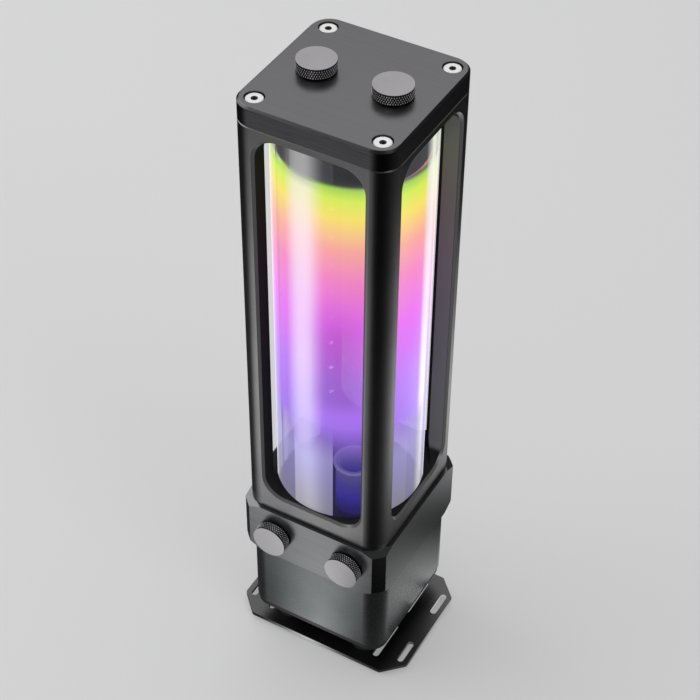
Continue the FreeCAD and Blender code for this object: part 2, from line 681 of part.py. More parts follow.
# frame: four posts joined by a foot rail and a head rail, rounded windows on all four sides
frame = newBody("ReservoirFrame")
sk = newSketch(frame, "FrameOutline", "XY_Plane", zFrame)
drawRounded(sk, S.frameSquare, S.frameSquare, S.cornerRound)
feature = pad(frame, sk, S.frameRise, "FramePad")
feature = breakEdges(frame, feature,
                     lambda e: flatAt(zFrame.value)(e) or flatAt(zLid.value)(e),
                     S.edgeBreak, "FrameEnds")
faceAt = size["frameSquare"] / 2
for role, name in (("XZ_Plane", "Front"), ("YZ_Plane", "Side")):
    sk = newSketch(frame, name + "Window", role)
    drawRounded(sk, windowWide, windowTall, S.windowRound, 0, zWindow + windowTall / 2)
    feature = pocket(frame, sk, S.frameSquare + S.windowEdge * 2, name + "WindowPocket", both=True)


def windowEdgeTest(e):
    # an edge of a window that lies in one of the four outer faces
    b = e.BoundBox
    flatFace = (near(b.XLength, 0) and near(abs(b.XMin), faceAt)) or \
               (near(b.YLength, 0) and near(abs(b.YMin), faceAt))
    inner = b.ZMin > zFrame.value + 1 and b.ZMax < zLid.value - 1
    return flatFace and inner


feature = breakEdges(frame, feature, windowEdgeTest, S.windowEdge, "WindowChamfer")
sk = newSketch(frame, "FrameBore", "XY_Plane", zLid)
drawCircle(sk, tubeRadius + S.looseGap)
pocket(frame, sk, S.frameRise, "Bore")
sk = newSketch(frame, "Relief", "XY_Plane", zWindow)
drawCircle(sk, postRelief)
pocket(frame, sk, windowTall, "ReliefPocket", upward=True)
sk = newSketch(frame, "ScrewHolesHead", "XY_Plane", zLid)
for x, y in corners(boltSpacing):
    drawCircle(sk, S.boltRadius + S.slimGap, x, y)
pocket(frame, sk, S.screwBite + S.looseGap, "ScrewHolesHeadPocket")
sk = newSketch(frame, "ScrewHolesFoot", "XY_Plane", zFrame)
for x, y in corners(boltSpacing):
    drawCircle(sk, S.boltRadius + S.slimGap, x, y)
pocket(frame, sk, S.boltBite + S.looseGap, "ScrewHolesFootPocket", upward=True)

# clear tube on a flat seal in the block's groove
zTube = zFrame - S.tubeSeat + S.footSealThick
tube = newBody("ReservoirTube")
turn(tube, [(tubeBore, zTube), (tubeRadius, zTube), (tubeRadius, zLid - S.looseGap),
            (tubeBore, zLid - S.looseGap)], "TubeWall")
footSeal = cut("FootSeal", rod("FootSealOuter", tubeRadius, S.footSealThick,
                               0, 0, zFrame - S.tubeSeat),
               [rod("FootSealInner", tubeBore, S.footSealThick, 0, 0, zFrame - S.tubeSeat)])

# clear standpipe that lets the returning coolant rise in the tube
pipeOuter = rod("PipeOuter", S.pipeRadius, S.pipeRise + S.pipeSeat, S.pipeAcross, -pipeAhead,
                zFrame - S.pipeSeat)
standpipe = cut("Standpipe", pipeOuter,
                [rod("PipeInner", S.pipeRadius - S.pipeWall, S.pipeRise + S.pipeSeat,
                     S.pipeAcross, -pipeAhead, zFrame - S.pipeSeat)])

# top cover with a hollow boss inside the tube
lid = newBody("TopCover")
sk = newSketch(lid, "LidOutline", "XY_Plane", zLid)
drawRounded(sk, S.frameSquare, S.frameSquare, S.cornerRound)
feature = pad(lid, sk, S.lidRise, "LidPad")
feature = breakEdges(lid, feature, flatAt(zTop.value), S.lidEdge, "LidEdge")
feature = breakEdges(lid, feature, flatAt(zLid.value), S.edgeBreak, "LidFoot")
sk = newSketch(lid, "BossOutline", "XY_Plane", zLid - S.bossDrop)
drawCircle(sk, bossRadius)
pad(lid, sk, S.bossDrop, "BossPad")
sk = newSketch(lid, "BossHollow", "XY_Plane", zLid - S.bossDrop)
drawCircle(sk, bossRadius - S.bossWall)
pocket(lid, sk, S.bossDrop, "BossPocket", upward=True)
sk = newSketch(lid, "LidHoles", "XY_Plane", zTop)
for side in (-1, 1):
    drawCircle(sk, S.portRadius, topX * side, 0)
for x, y in corners(boltSpacing):
    drawCircle(sk, S.boltHole, x, y)
pocket(lid, sk, S.lidRise, "LidHolePocket")
sk = newSketch(lid, "ScrewPockets", "XY_Plane", zTop)
for x, y in corners(boltSpacing):
    drawCircle(sk, screwPocket, x, y)
pocket(lid, sk, screwPocketDepth, "ScrewPocketCut")
sealRoom = S.headSealSection + S.slimGap
lidGroove = cut("LidGroove", rod("LidGrooveOuter", tubeBore, sealRoom * 2, 0, 0,
                                 zLid - S.headSealDrop - sealRoom),
                [rod("LidGrooveInner", tubeBore - S.headSealSection * 2 - S.slimGap * 3,
                     sealRoom * 2, 0, 0, zLid - S.headSealDrop - sealRoom)])
topCover = cut("TopCoverGrooved", lid, [lidGroove])
headSeal = ring("HeadSeal", tubeBore - S.headSealSection - S.slimGap, S.headSealSection,
                0, 0, zLid - S.headSealDrop)

# cover screws with hexagon sockets, in counterbores
coverScrews = []
zSeat = zTop - screwPocketDepth
for k, (x, y) in enumerate(corners(boltSpacing)):
    head = rod("ScrewHead%d" % k, S.screwHeadRadius, S.screwHeadRise, x, y, zSeat)
    shank = rod("ScrewShank%d" % k, S.boltRadius, S.lidRise - screwPocketDepth + S.screwBite,
                x, y, zLid - S.screwBite)
    hexagon = doc.addObject("Part::Prism", "ScrewHex%d" % k)
    hexagon.Polygon = 6
    bind(hexagon, "Circumradius", S.screwHexAcross / math.sqrt(3))
    bind(hexagon, "Height", S.screwHexDepth)
    place(hexagon, x, y, zSeat + S.screwHeadRise - S.screwHexDepth)
    coverScrews.append(cut("CoverScrew%d" % k, fuse("ScrewSolid%d" % k, [head, shank]), [hexagon]))
coverScrewSet = fuse("CoverScrews", coverScrews)

# light strip on the inside of the rear left post, facing the tube
stripMiddle = zWindow + windowTall / 2
diagonal = FreeCAD.Rotation(Vector(0, 0, 1), 45)
stripSeat = postRelief - S.stripSeatGap
stripLong = windowTall - S.stripEnd * 2


def onPost(name, wide, thick, tall, backRadius, zFoot):
    # a box whose back lies at backRadius on the diagonal of the rear left post
    obj = doc.addObject("Part::Box", name)
    wide, thick, tall, back = span(wide), span(thick), span(tall), span(backRadius)
    bind(obj, "Length", wide)
    bind(obj, "Width", thick)
    bind(obj, "Height", tall)
    obj.Placement.Rotation = diagonal
    face = back - thick
    place(obj, -(face + wide / 2) / rootTwo, (face - wide / 2) / rootTwo, zFoot)
    return obj


strip = onPost("LightStrip", S.stripWide, S.stripThick, stripLong, stripSeat,
               stripMiddle - stripLong / 2)
lamps = []
lampCount = int(size["lampCount"])
lampPitch = (stripLong - S.stripLead * 2) / lampCount
for k in range(lampCount):
    lift = lampPitch * (k - (lampCount - 1) / 2)
    lamps.append(onPost("Lamp%d" % k, S.lampWide, S.lampThick, S.lampWide,
                        stripSeat - S.stripThick, stripMiddle + lift - S.lampWide / 2))
lampSet = fuse("Lamps", lamps)

# rotor can: a thin cup with a flange that hangs in the housing roof
can = newBody("RotorCan")
zCan = zBlock - S.canDepth
innerCan = S.canRadius - S.canWall
seatCan = S.shaftRadius + S.canSeatWall
canFlange = chamberRadius - S.canFlangeGap
turn(can, [(S.shaftRadius, zCan), (S.canRadius, zCan), (S.canRadius, zBlock),
           (canFlange, zBlock), (canFlange, zBlock + S.canFlangeThick),
           (innerCan, zBlock + S.canFlangeThick), (innerCan, zCan + S.canWall),
           (seatCan, zCan + S.canWall), (seatCan, zCan + S.canFloor),
           (S.shaftRadius, zCan + S.canFloor)],
     "CanWall")
shaftHead = zBlock + chamberDepth - S.looseGap
shaft = rod("PumpShaft", S.shaftRadius, shaftHead - zCan, 0, 0, zCan)

# rotor magnet and impeller, one turning piece on the shaft
zMagnet = zCan + S.canFloor + S.magnetGap
magnetRadius = innerCan - S.magnetGap
magnetRise = zBlock - S.magnetShort - zMagnet
zDisc = zBlock + S.canFlangeThick + S.discGap
bladeRise = zBlock + chamberDepth - S.bladeClear - zDisc - S.discThick
runBore = S.shaftRadius + S.slimGap
magnet = cut("RotorMagnet", rod("MagnetSolid", magnetRadius, magnetRise, 0, 0, zMagnet),
             [rod("MagnetBore", runBore, magnetRise, 0, 0, zMagnet)])
impellerBody = newBody("ImpellerBody")
zHead = zDisc + S.discThick
turn(impellerBody, [(runBore, zMagnet + magnetRise), (S.hubRadius, zMagnet + magnetRise),
                    (S.hubRadius, zDisc), (S.impellerRadius, zDisc),
                    (S.impellerRadius, zHead), (S.hubRadius, zHead),
                    (S.hubRadius - S.hubTaper, zHead + bladeRise), (runBore, zHead + bladeRise)],
     "ImpellerDisc")
# one curved blade, a slice of a ring wall inside the disc's rim
bladeBow, bladeReach = 0.62, 0.52     # of the impeller's radius
bladeFrom, bladeTo = 66, 150          # degrees round the blade's own middle
bladeWall = S.impellerRadius * bladeBow
bladeShift = S.impellerRadius * bladeReach
sk = newSketch(impellerBody, "BladeOutline", "XY_Plane", zHead - S.bladeSink)
outerArc = bladeWall + S.bladeThick / 2
innerArc = bladeWall - S.bladeThick / 2
arcs = []
for radius in (outerArc, innerArc):
    circle = Part.Circle(Vector(bladeShift.value, 0, 0), Vector(0, 0, 1), radius.value)
    arcs.append(Part.ArcOfCircle(circle, math.radians(bladeFrom), math.radians(bladeTo)))
outerN = sk.addGeometry(arcs[0], False)
innerN = sk.addGeometry(arcs[1], False)
lineA = sk.addGeometry(Part.LineSegment(arcs[0].StartPoint, arcs[1].StartPoint), False)
lineB = sk.addGeometry(Part.LineSegment(arcs[0].EndPoint, arcs[1].EndPoint), False)
for first, firstEnd, second, secondEnd in ((outerN, 1, lineA, 1), (innerN, 1, lineA, 2),
                                           (outerN, 2, lineB, 1), (innerN, 2, lineB, 2)):
    sk.addConstraint(Sketcher.Constraint("Coincident", first, firstEnd, second, secondEnd))
sk.addConstraint(Sketcher.Constraint("Coincident", outerN, 3, innerN, 3))
pin(sk, "DistanceX", -1, 1, outerN, 3, bladeShift)
sk.addConstraint(Sketcher.Constraint("PointOnObject", outerN, 3, -1))
for arc, radius in ((outerN, outerArc), (innerN, innerArc)):
    pin(sk, "Radius", arc, radius)
    pin(sk, "DistanceX", -1, 1, arc, 1, bladeShift + radius * math.cos(math.radians(bladeFrom)))
    pin(sk, "DistanceY", -1, 1, arc, 2, radius * math.sin(math.radians(bladeTo)))
blade = pad(impellerBody, sk, bladeRise + S.bladeSink, "Blade")
blades = impellerBody.newObject("PartDesign::PolarPattern", "Blades")
blades.Originals = [blade]
blades.Axis = (sk, ["N_Axis"])
blades.Angle = 360
bind(blades, "Occurrences", S.bladeCount)
impellerBody.Tip = blades
settle()

# stator: a toothed ring round the can, with a coil on each tooth
statorRoom = S.canRadius + S.looseGap
statorOuter = cavityRadius - S.statorGap
zStator = zBlock - S.housingRoof - S.looseGap - S.coilThick - S.statorRise
core = newBody("StatorCore")
sk = newSketch(core, "YokeOutline", "XY_Plane", zStator)
drawCircle(sk, statorOuter)
drawCircle(sk, statorOuter - S.statorYoke)
pad(core, sk, S.statorRise, "Yoke")
sk = newSketch(core, "PoleOutline", "XY_Plane", zStator)
p = S.poleWide / 2
drawOutline(sk, [(statorRoom, -p), (statorOuter - S.statorYoke / 2, -p),
                 (statorOuter - S.statorYoke / 2, p), (statorRoom, p)])
pole = pad(core, sk, S.statorRise, "Pole")
poles = core.newObject("PartDesign::PolarPattern", "Poles")
poles.Originals = [pole]
poles.Axis = (sk, ["N_Axis"])
poles.Angle = 360
bind(poles, "Occurrences", S.poleCount)
core.Tip = poles
settle()
coils = []
poleCount = int(size["poleCount"])
coilLong = statorOuter - S.statorYoke - statorRoom - S.looseGap * 4
for k in range(poleCount):
    bundle = block("CoilBundle%d" % k, coilLong, S.poleWide + S.coilThick * 2,
                   S.statorRise + S.coilThick * 2,
                   statorRoom + S.looseGap + coilLong / 2, 0, zStator - S.coilThick)
    window = block("CoilWindow%d" % k, coilLong + S.coilThick * 2, S.poleWide + S.slimGap * 2,
                   S.statorRise + S.slimGap * 2,
                   statorRoom + S.looseGap + coilLong / 2, 0, zStator - S.slimGap)
    coil = cut("Coil%d" % k, bundle, [window])
    coil.Placement.Rotation = FreeCAD.Rotation(Vector(0, 0, 1), 360.0 * k / poleCount)
    coils.append(coil)
coilSet = fuse("Coils", coils)

# driver board on the cover's posts
board = rod("DriverBoard", boardRadius, S.boardThick, 0, 0, zHousing + S.boardPost)


def plug(name, x, seat, front):
    # a flat knurled cap with a hollow threaded stub, and its seal; front plugs look along -Y
    body = newBody(name)
    sealIn = plugSealRadius - S.plugSealRoom
    sealOut = plugSealRadius + S.plugSealRoom
    stub = S.portRadius - S.plugThreadGap
    foot = S.plugGap
    head = S.plugGap + S.plugRise
    turn(body, [(0, -S.plugStub + S.plugBoreDepth), (S.plugBore, -S.plugStub + S.plugBoreDepth),
                (S.plugBore, -S.plugStub), (stub - S.edgeBreak, -S.plugStub),
                (stub, -S.plugStub + S.edgeBreak), (stub, foot + S.plugSealDepth),
                (sealOut, foot + S.plugSealDepth), (sealOut, foot),
                (plugRadius - S.edgeBreak / 2, foot), (plugRadius, foot + S.edgeBreak / 2),
                (plugRadius, head - S.plugEdge), (plugRadius - S.plugEdge, head), (0, head)],
         name + "Turned")
    rise = S.plugSealSection + S.slimGap
    if front:
        body.Placement.Rotation = FreeCAD.Rotation(Vector(1, 0, 0), 90)
        place(body, x, -frontFace, seat)
        seal = ring(name + "Seal", plugSealRadius, S.plugSealSection, x, -frontFace - rise, seat,
                    "y")
    else:
        place(body, x, 0, seat)
        seal = ring(name + "Seal", plugSealRadius, S.plugSealSection, x, 0, span(seat) + rise)
    return body, seal


plugTopLeft, sealTopLeft = plug("PlugTopLeft", -topX, zTop, False)
plugTopRight, sealTopRight = plug("PlugTopRight", topX, zTop, False)
plugFrontLeft, sealFrontLeft = plug("PlugFrontLeft", -portX, portLevel, True)
plugFrontRight, sealFrontRight = plug("PlugFrontRight", portX, portLevel, True)
settle()

nodes = [
    (basePlate, "base_plate"), (feet, "base_feet"), (dampers, "dampers"),
    (lowScrewSet, "damper_screws"), (studSet, "damper_studs"), (coverSunk, "bottom_cover"),
    (housing, "pump_housing"), (grommet, "cable_grommet"), (board, "driver_board"),
    (core, "stator_core"), (coilSet, "stator_coils"), (can, "rotor_can"), (shaft, "pump_shaft"),
    (magnet, "rotor_magnet"), (impellerBody, "impeller"), (blockSeal, "block_seal"),
    (portBlock, "port_block"), (tieBoltSet, "tie_bolts"), (frame, "reservoir_frame"),
    (tube, "reservoir_tube"), (footSeal, "tube_foot_seal"), (standpipe, "standpipe"),
    (strip, "light_strip"), (lampSet, "light_strip_lamps"), (topCover, "top_cover"),
    (headSeal, "tube_head_seal"), (coverScrewSet, "cover_screws"),
    (plugTopLeft, "plug_top_left"), (sealTopLeft, "plug_seal_top_left"),
    (plugTopRight, "plug_top_right"), (sealTopRight, "plug_seal_top_right"),
    (plugFrontLeft, "plug_front_left"), (sealFrontLeft, "plug_seal_front_left"),
    (plugFrontRight, "plug_front_right"), (sealFrontRight, "plug_seal_front_right"),
]

# every piece moves back by the axis setback, so the footprint's middle is the origin
for obj, label in nodes:
    obj.Label = label
    ties = dict(obj.ExpressionEngine)
    if ".Placement.Base.y" in ties or "Placement.Base.y" in ties:
        old = ties.get(".Placement.Base.y", ties.get("Placement.Base.y"))
        obj.setExpression("Placement.Base.y", "(%s) + Sizes.axisSetback" % old)
    else:
        obj.setExpression("Placement.Base.y", "Sizes.axisSetback")
doc.recompute()

for obj in doc.Objects:
    if "Invalid" in obj.State or "Error" in obj.State:
        raise RuntimeError("failed object %s %s" % (obj.Name, obj.State))
for obj, label in nodes:
    shape = obj.Shape
    if shape.isNull() or not shape.isValid() or shape.Volume < 0.5:
        raise RuntimeError("bad shape for " + label)

os.makedirs("parts", exist_ok=True)
for obj, label in nodes:
    obj.Shape.exportStep("parts/" + label + ".step")
    b = obj.Shape.BoundBox
    print("%-24s solids %d volume %10.1f  x %7.2f %7.2f  y %7.2f %7.2f  z %7.2f %7.2f" % (
        label, len(obj.Shape.Solids), obj.Shape.Volume, b.XMin, b.XMax, b.YMin, b.YMax,
        b.ZMin, b.ZMax))
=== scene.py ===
import math

import bmesh
import bpy
from mathutils import Matrix, Vector


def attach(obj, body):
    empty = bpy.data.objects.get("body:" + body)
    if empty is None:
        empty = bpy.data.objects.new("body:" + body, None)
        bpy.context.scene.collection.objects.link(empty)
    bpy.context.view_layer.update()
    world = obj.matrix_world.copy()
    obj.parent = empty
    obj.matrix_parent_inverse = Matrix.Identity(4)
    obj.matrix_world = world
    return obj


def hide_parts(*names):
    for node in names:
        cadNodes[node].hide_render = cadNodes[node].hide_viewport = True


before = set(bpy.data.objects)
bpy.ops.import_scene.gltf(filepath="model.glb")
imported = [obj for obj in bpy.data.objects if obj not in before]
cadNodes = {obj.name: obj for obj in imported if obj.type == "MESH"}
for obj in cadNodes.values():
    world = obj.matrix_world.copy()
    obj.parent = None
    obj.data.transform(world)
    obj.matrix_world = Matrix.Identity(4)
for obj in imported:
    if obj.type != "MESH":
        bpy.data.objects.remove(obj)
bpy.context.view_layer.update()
print("frame loaded:", len(cadNodes), "nodes")

mm = 0.001
axisY = 2.825 * mm      # the tube's axis, behind the middle of the footprint


def tone(*levels):
    # 8 bit picture levels as a linear colour
    shares = [level / 255 for level in levels]
    return tuple(v / 12.92 if v <= 0.04045 else ((v + 0.055) / 1.055) ** 2.4
                 for v in shares) + (1,)


def grey(level):
    return (level, level, level, 1)


class Nodes:
    # short ways to add nodes to one tree
    def __init__(self, tree):
        self.tree = tree

    def add(self, kind, **settings):
        node = self.tree.nodes.new(kind)
        for key, value in settings.items():
            setattr(node, key, value)
        return node

    def feed(self, socket, value):
        # a socket takes the output of another node, or a plain value
        if isinstance(value, bpy.types.NodeSocket):
            self.tree.links.new(value, socket)
        else:
            socket.default_value = value

    def math(self, operation, a, b=0.0, clamp=False):
        node = self.add("ShaderNodeMath", operation=operation, use_clamp=clamp)
        self.feed(node.inputs[0], a)
        self.feed(node.inputs[1], b)
        return node.outputs[0]

    def plus(self, a, b, clamp=False):
        return self.math("ADD", a, b, clamp)

    def minus(self, a, b):
        return self.math("SUBTRACT", a, b)

    def times(self, a, b, clamp=False):
        return self.math("MULTIPLY", a, b, clamp)

    def larger(self, a, b, clamp=False):
        return self.math("MAXIMUM", a, b, clamp)

    def inverse(self, a):
        return self.minus(1.0, a)

    def split(self, source):
        node = self.add("ShaderNodeSeparateXYZ")
        self.feed(node.inputs[0], source)
        return node.outputs

    def radius(self, x, y):
        return self.math("SQRT", self.plus(self.times(x, x), self.times(y, y)))

    def azimuth(self, x, y):
        # degrees round from the front, + to the right
        return self.math("DEGREES", self.math("ARCTAN2", x, self.times(y, -1.0)))

    def fade(self, value, low, high, smooth=True):
        # 0 below low, 1 above high
        node = self.add("ShaderNodeMapRange",
                        interpolation_type="SMOOTHSTEP" if smooth else "LINEAR")
        for number, given in ((0, value), (1, low), (2, high)):
            self.feed(node.inputs[number], given)
        return node.outputs[0]

    def between(self, value, low, high, soft=0.05 * mm):
        # 1 between low and high, 0 outside
        return self.times(self.fade(value, low - soft, low + soft),
                          self.inverse(self.fade(value, high - soft, high + soft)))

    def spread(self, value, low, high):
        # 0 to 1 becomes low to high
        node = self.add("ShaderNodeMapRange")
        for number, given in ((0, value), (3, low), (4, high)):
            self.feed(node.inputs[number], given)
        return node.outputs[0]

    def mixColour(self, share, a, b):
        node = self.add("ShaderNodeMix", data_type="RGBA")
        for number, given in ((0, share), (6, a), (7, b)):
            self.feed(node.inputs[number], given)
        return node.outputs[2]

    def graded(self, value, stops):
        # colours at rising values, blended between them
        low, high = stops[0][0], stops[-1][0]
        node = self.add("ShaderNodeValToRGB")
        self.feed(node.inputs[0], self.fade(value, low, high, smooth=False))
        band = node.color_ramp
        while len(band.elements) < len(stops):
            band.elements.new(1.0)
        for element, (at, colour) in zip(band.elements, stops):
            element.position = (at - low) / (high - low)
            element.color = colour
        return node.outputs[0]

    def gradedTones(self, value, stops):
        return self.graded(value, [(at, tone(*levels)) for at, levels in stops])

    def gradedLevels(self, value, stops):
        return self.graded(value, [(at, grey(level)) for at, level in stops])


# the grains that most finishes share, with noise scales in waves a metre
grains = {
    "cloud": 38, "cloudDetail": 4, "cloudFade": (0.35, 0.68),
    "satin": 900, "satinDetail": 2,
    "blast": 5200, "blastDetail": 2, "blastDeep": 0.012 * mm,
    "strokeFade": (0.3, 0.72), "strokeDetail": 5,
}


class Finish(Nodes):
    # one material with a Principled shader
    def __init__(self, name, colour, metallic=0.0, roughness=0.5):
        self.material = bpy.data.materials.new(name)
        self.material.use_nodes = True
        super().__init__(self.material.node_tree)
        self.shader = self.tree.nodes["Principled BSDF"]
        self.set("Base Color", colour)
        self.set("Metallic", metallic)
        self.set("Roughness", roughness)
        self.place = self.add("ShaderNodeTexCoord").outputs["Object"]

    def set(self, socket, value):
        self.feed(self.shader.inputs[socket], value)

    def axes(self):
        # x and y from the tube's axis, and the height
        x, y, z = self.split(self.place)
        return x, self.minus(y, axisY), z

    def height(self):
        return self.split(self.place)[2]

    def rim(self, power):
        # 0 on a face that looks at the camera, 1 on one seen edge on
        facing = self.add("ShaderNodeLayerWeight")
        self.feed(facing.inputs["Blend"], 0.5)
        return self.math("POWER", facing.outputs["Facing"], power)

    def noise(self, scale, detail, place=None):
        node = self.add("ShaderNodeTexNoise")
        self.feed(node.inputs["Vector"], place or self.place)
        self.feed(node.inputs["Scale"], scale)
        self.feed(node.inputs["Detail"], detail)
        return node.outputs[0]

    def strokes(self, scales, detail):
        # noise drawn out into strokes by its scales along x, y and z
        node = self.add("ShaderNodeMapping")
        self.feed(node.inputs[0], self.place)
        self.feed(node.inputs["Scale"], scales)
        return self.noise(1.0, detail, node.outputs[0])

    def cloudy(self, dark, light):
        # faint clouds over a whole face
        clouds = self.noise(grains["cloud"], grains["cloudDetail"])
        return self.mixColour(self.fade(clouds, *grains["cloudFade"]), dark, light)

    def satin(self, low, high):
        # roughness that wanders between two values
        return self.spread(self.noise(grains["satin"], grains["satinDetail"]), low, high)

    def bump(self, source, depth, strength=1.0):
        node = self.add("ShaderNodeBump")
        self.feed(node.inputs["Height"], source)
        self.feed(node.inputs["Distance"], depth)
        self.feed(node.inputs["Strength"], strength)
        self.set("Normal", node.outputs[0])

    def blast(self, depth=grains["blastDeep"]):
        self.bump(self.noise(grains["blast"], grains["blastDetail"]), depth)


def blastedMetal(name, dark, light, metallic=1.0, low=0.36, high=0.48,
                 grain=grains["blastDeep"]):
    # bead-blasted and anodised
    f = Finish(name, dark, metallic)
    f.set("Base Color", f.cloudy(dark, light))
    f.set("Roughness", f.satin(low, high))
    f.blast(grain)
    return f.material


# black, with a painted highlight on the knurl's points that stands in for their glints
knurlLook = {
    "groove": (0.006, 0.006, 0.007, 1), "tip": (0.80, 0.80, 0.81, 1), "glintFade": (0.44, 0.66),
    "metallic": 0.5, "rough": 0.3,
}


def knurlFinish():
    s = knurlLook
    f = Finish("capRim", s["groove"], s["metallic"], s["rough"])
    tip = f.add("ShaderNodeAttribute", attribute_name="knurlTip").outputs["Fac"]
    # painted highlight: the points of the knurl are painted bright
    f.set("Base Color", f.mixColour(f.fade(tip, *s["glintFade"]), s["groove"], s["tip"]))
    return f.material


capRim = knurlFinish()

# the grain of moulded plastic and rubber
mouldedLook = {
    "cloud": 60, "cloudDetail": 4, "cloudFade": (0.35, 0.7),
    "gloss": 500, "glossDetail": 2, "grain": 1400, "grainDetail": 3, "grainDeep": 0.02 * mm,
}


def moulded(name, dark, light, low=0.5, high=0.65):
    s = mouldedLook
    f = Finish(name, dark)
    clouds = f.fade(f.noise(s["cloud"], s["cloudDetail"]), *s["cloudFade"])
    f.set("Base Color", f.mixColour(clouds, dark, light))
    f.set("Roughness", f.spread(f.noise(s["gloss"], s["glossDetail"]), low, high))
    f.bump(f.noise(s["grain"], s["grainDetail"]), s["grainDeep"])
    return f.material


# the frame's outer faces, a painted highlight on the cut edges round its windows, and the dull
# inside with painted shade, its jambs that face front and back painted lighter as lit
frameLook = {
    "face": (0.235, 0.233, 0.238, 1), "faceCloud": (0.265, 0.263, 0.268, 1),
    "cutEdgeHighlight": (0.225, 0.222, 0.228, 1), "inside": (0.026, 0.026, 0.027, 1),
    "litJamb": (0.36, 0.358, 0.362, 1), "litJambFade": (0.8, 0.95),
    "halfWide": 38.0 * mm, "cornerRound": 9.5 * mm, "edgeDeep": 1.2 * mm,
    # where the inside and the cut edge begin and end, from the edge's foot and the face
    "insideFade": (-0.15 * mm, 0.05 * mm), "cutFrom": 0.10 * mm, "cutTo": -0.08 * mm,
    "cutWideFade": (28.8 * mm, 29.0 * mm),      # how far from the middle the cut edge reaches
    "cutDull": 0.45, "insideDull": 0.6,         # how much less metallic they are
    "rough": (0.27, 0.36), "insideRough": 0.72,
}


def frameFinish():
    s = frameLook
    f = Finish("frameBlack", s["face"], 1.0)
    half, flat = s["halfWide"], s["halfWide"] - s["cornerRound"]
    sides = [f.math("ABSOLUTE", value) for value in f.axes()[:2]]
    # how far out a point lies, measured round the corners too
    past = [f.larger(f.minus(value, flat), 0.0) for value in sides]
    far = f.plus(f.radius(*past), flat)
    edgeFoot = half - s["edgeDeep"]
    # painted shade: the inside of the frame is painted darker than its faces
    inside = f.inverse(f.fade(far, *(edgeFoot + step for step in s["insideFade"])))
    beside = f.fade(f.math("MINIMUM", *sides), *s["cutWideFade"])
    # painted highlight: the cut edges round the windows are painted lighter, where reflections
    # fall
    cut = f.times(f.between(far, edgeFoot + s["cutFrom"], half + s["cutTo"]), f.inverse(beside))
    outside = f.mixColour(cut, f.cloudy(s["face"], s["faceCloud"]), s["cutEdgeHighlight"])
    # painted light: the jambs that face front and back are painted lighter, as they face the light
    normal = f.split(f.add("ShaderNodeTexCoord").outputs["Normal"])
    litJamb = f.fade(f.math("ABSOLUTE", normal[1]), *s["litJambFade"])
    f.set("Base Color", f.mixColour(inside, outside, f.mixColour(litJamb, s["inside"], s["litJamb"])))
    dull = f.larger(f.times(cut, s["cutDull"]), f.times(inside, s["insideDull"]))
    f.set("Metallic", f.inverse(dull))
    f.set("Roughness", f.larger(f.satin(*s["rough"]), f.times(inside, s["insideRough"])))
    f.blast()
    return f.material


frameBlack = frameFinish()

# the cover: brushed top, sides with the mill's tracks round them and painted darker as shade, dull
# boss in the tube
coverLook = {
    "top": (0.206, 0.202, 0.209, 1), "topStroke": (0.218, 0.214, 0.221, 1),
    "side": (0.110, 0.108, 0.114, 1), "shadedSideStroke": (0.155, 0.153, 0.160, 1),
    "boss": (0.030, 0.028, 0.032, 1), "bossStroke": (0.050, 0.047, 0.052, 1),
    "topFade": (331.75 * mm, 331.9 * mm), "bossFade": (321.8 * mm, 322.0 * mm),
    # scales along x, y and z, and where the strokes fade in
    "topScales": (20, 1300, 1300), "topSteps": (0.3, 0.72),
    "sideScales": (60, 60, 2600), "sideSteps": (0.3, 0.7), "sideDetail": 4,
    "bossScales": (150, 150, 6), "bossSteps": (0.35, 0.65), "bossDetail": 4,
    "rough": 0.29, "roughStroke": 0.03, "bossRough": 0.6,
    "strokeDeep": 0.0005 * mm, "strokeShare": 0.5,
}


def coverFinish():
    s = coverLook
    f = Finish("coverBlack", s["top"], 1.0)
    z = f.height()
    along = f.strokes(s["topScales"], grains["strokeDetail"])
    turned = f.strokes(s["sideScales"], s["sideDetail"])
    upright = f.strokes(s["bossScales"], s["bossDetail"])
    top = f.mixColour(f.fade(along, *s["topSteps"]), s["top"], s["topStroke"])
    # painted shade: the sides are painted darker than the top
    side = f.mixColour(f.fade(turned, *s["sideSteps"]), s["side"], s["shadedSideStroke"])
    boss = f.mixColour(f.fade(upright, *s["bossSteps"]), s["boss"], s["bossStroke"])
    below = f.inverse(f.fade(z, *s["bossFade"]))
    f.set("Base Color", f.mixColour(below, f.mixColour(f.fade(z, *s["topFade"]), side, top), boss))
    f.set("Metallic", f.inverse(below))
    brushed = f.plus(f.times(along, s["roughStroke"]), s["rough"])
    f.set("Roughness", f.larger(brushed, f.times(below, s["bossRough"])))
    f.bump(along, s["strokeDeep"], s["strokeShare"])
    return f.material


coverBlack = coverFinish()

# the port block: brushed sides, dull dark floor under the tube
blockLook = {
    "face": (0.215, 0.219, 0.226, 1), "stroke": (0.250, 0.254, 0.261, 1),
    "floor": (0.020, 0.018, 0.030, 1),
    "floorRadiusFade": (35.0 * mm, 35.2 * mm), "floorHeightFade": (90.0 * mm, 90.2 * mm),
    "scales": (14, 900, 900), "rough": (0.26, 0.33), "strokeDeep": 0.003 * mm,
    "strokeShare": 0.7,
}


def blockFinish():
    s = blockLook
    f = Finish("blockSatin", s["face"], 1.0)
    x, y, z = f.axes()
    strokes = f.strokes(s["scales"], grains["strokeDetail"])
    floor = f.times(f.inverse(f.fade(f.radius(x, y), *s["floorRadiusFade"])),
                    f.fade(z, *s["floorHeightFade"]))
    face = f.mixColour(f.fade(strokes, *grains["strokeFade"]), s["face"], s["stroke"])
    f.set("Base Color", f.mixColour(floor, face, s["floor"]))
    f.set("Metallic", f.inverse(floor))
    f.set("Roughness", f.spread(strokes, *s["rough"]))
    f.bump(strokes, s["strokeDeep"], s["strokeShare"])
    return f.material


blockSatin = blockFinish()

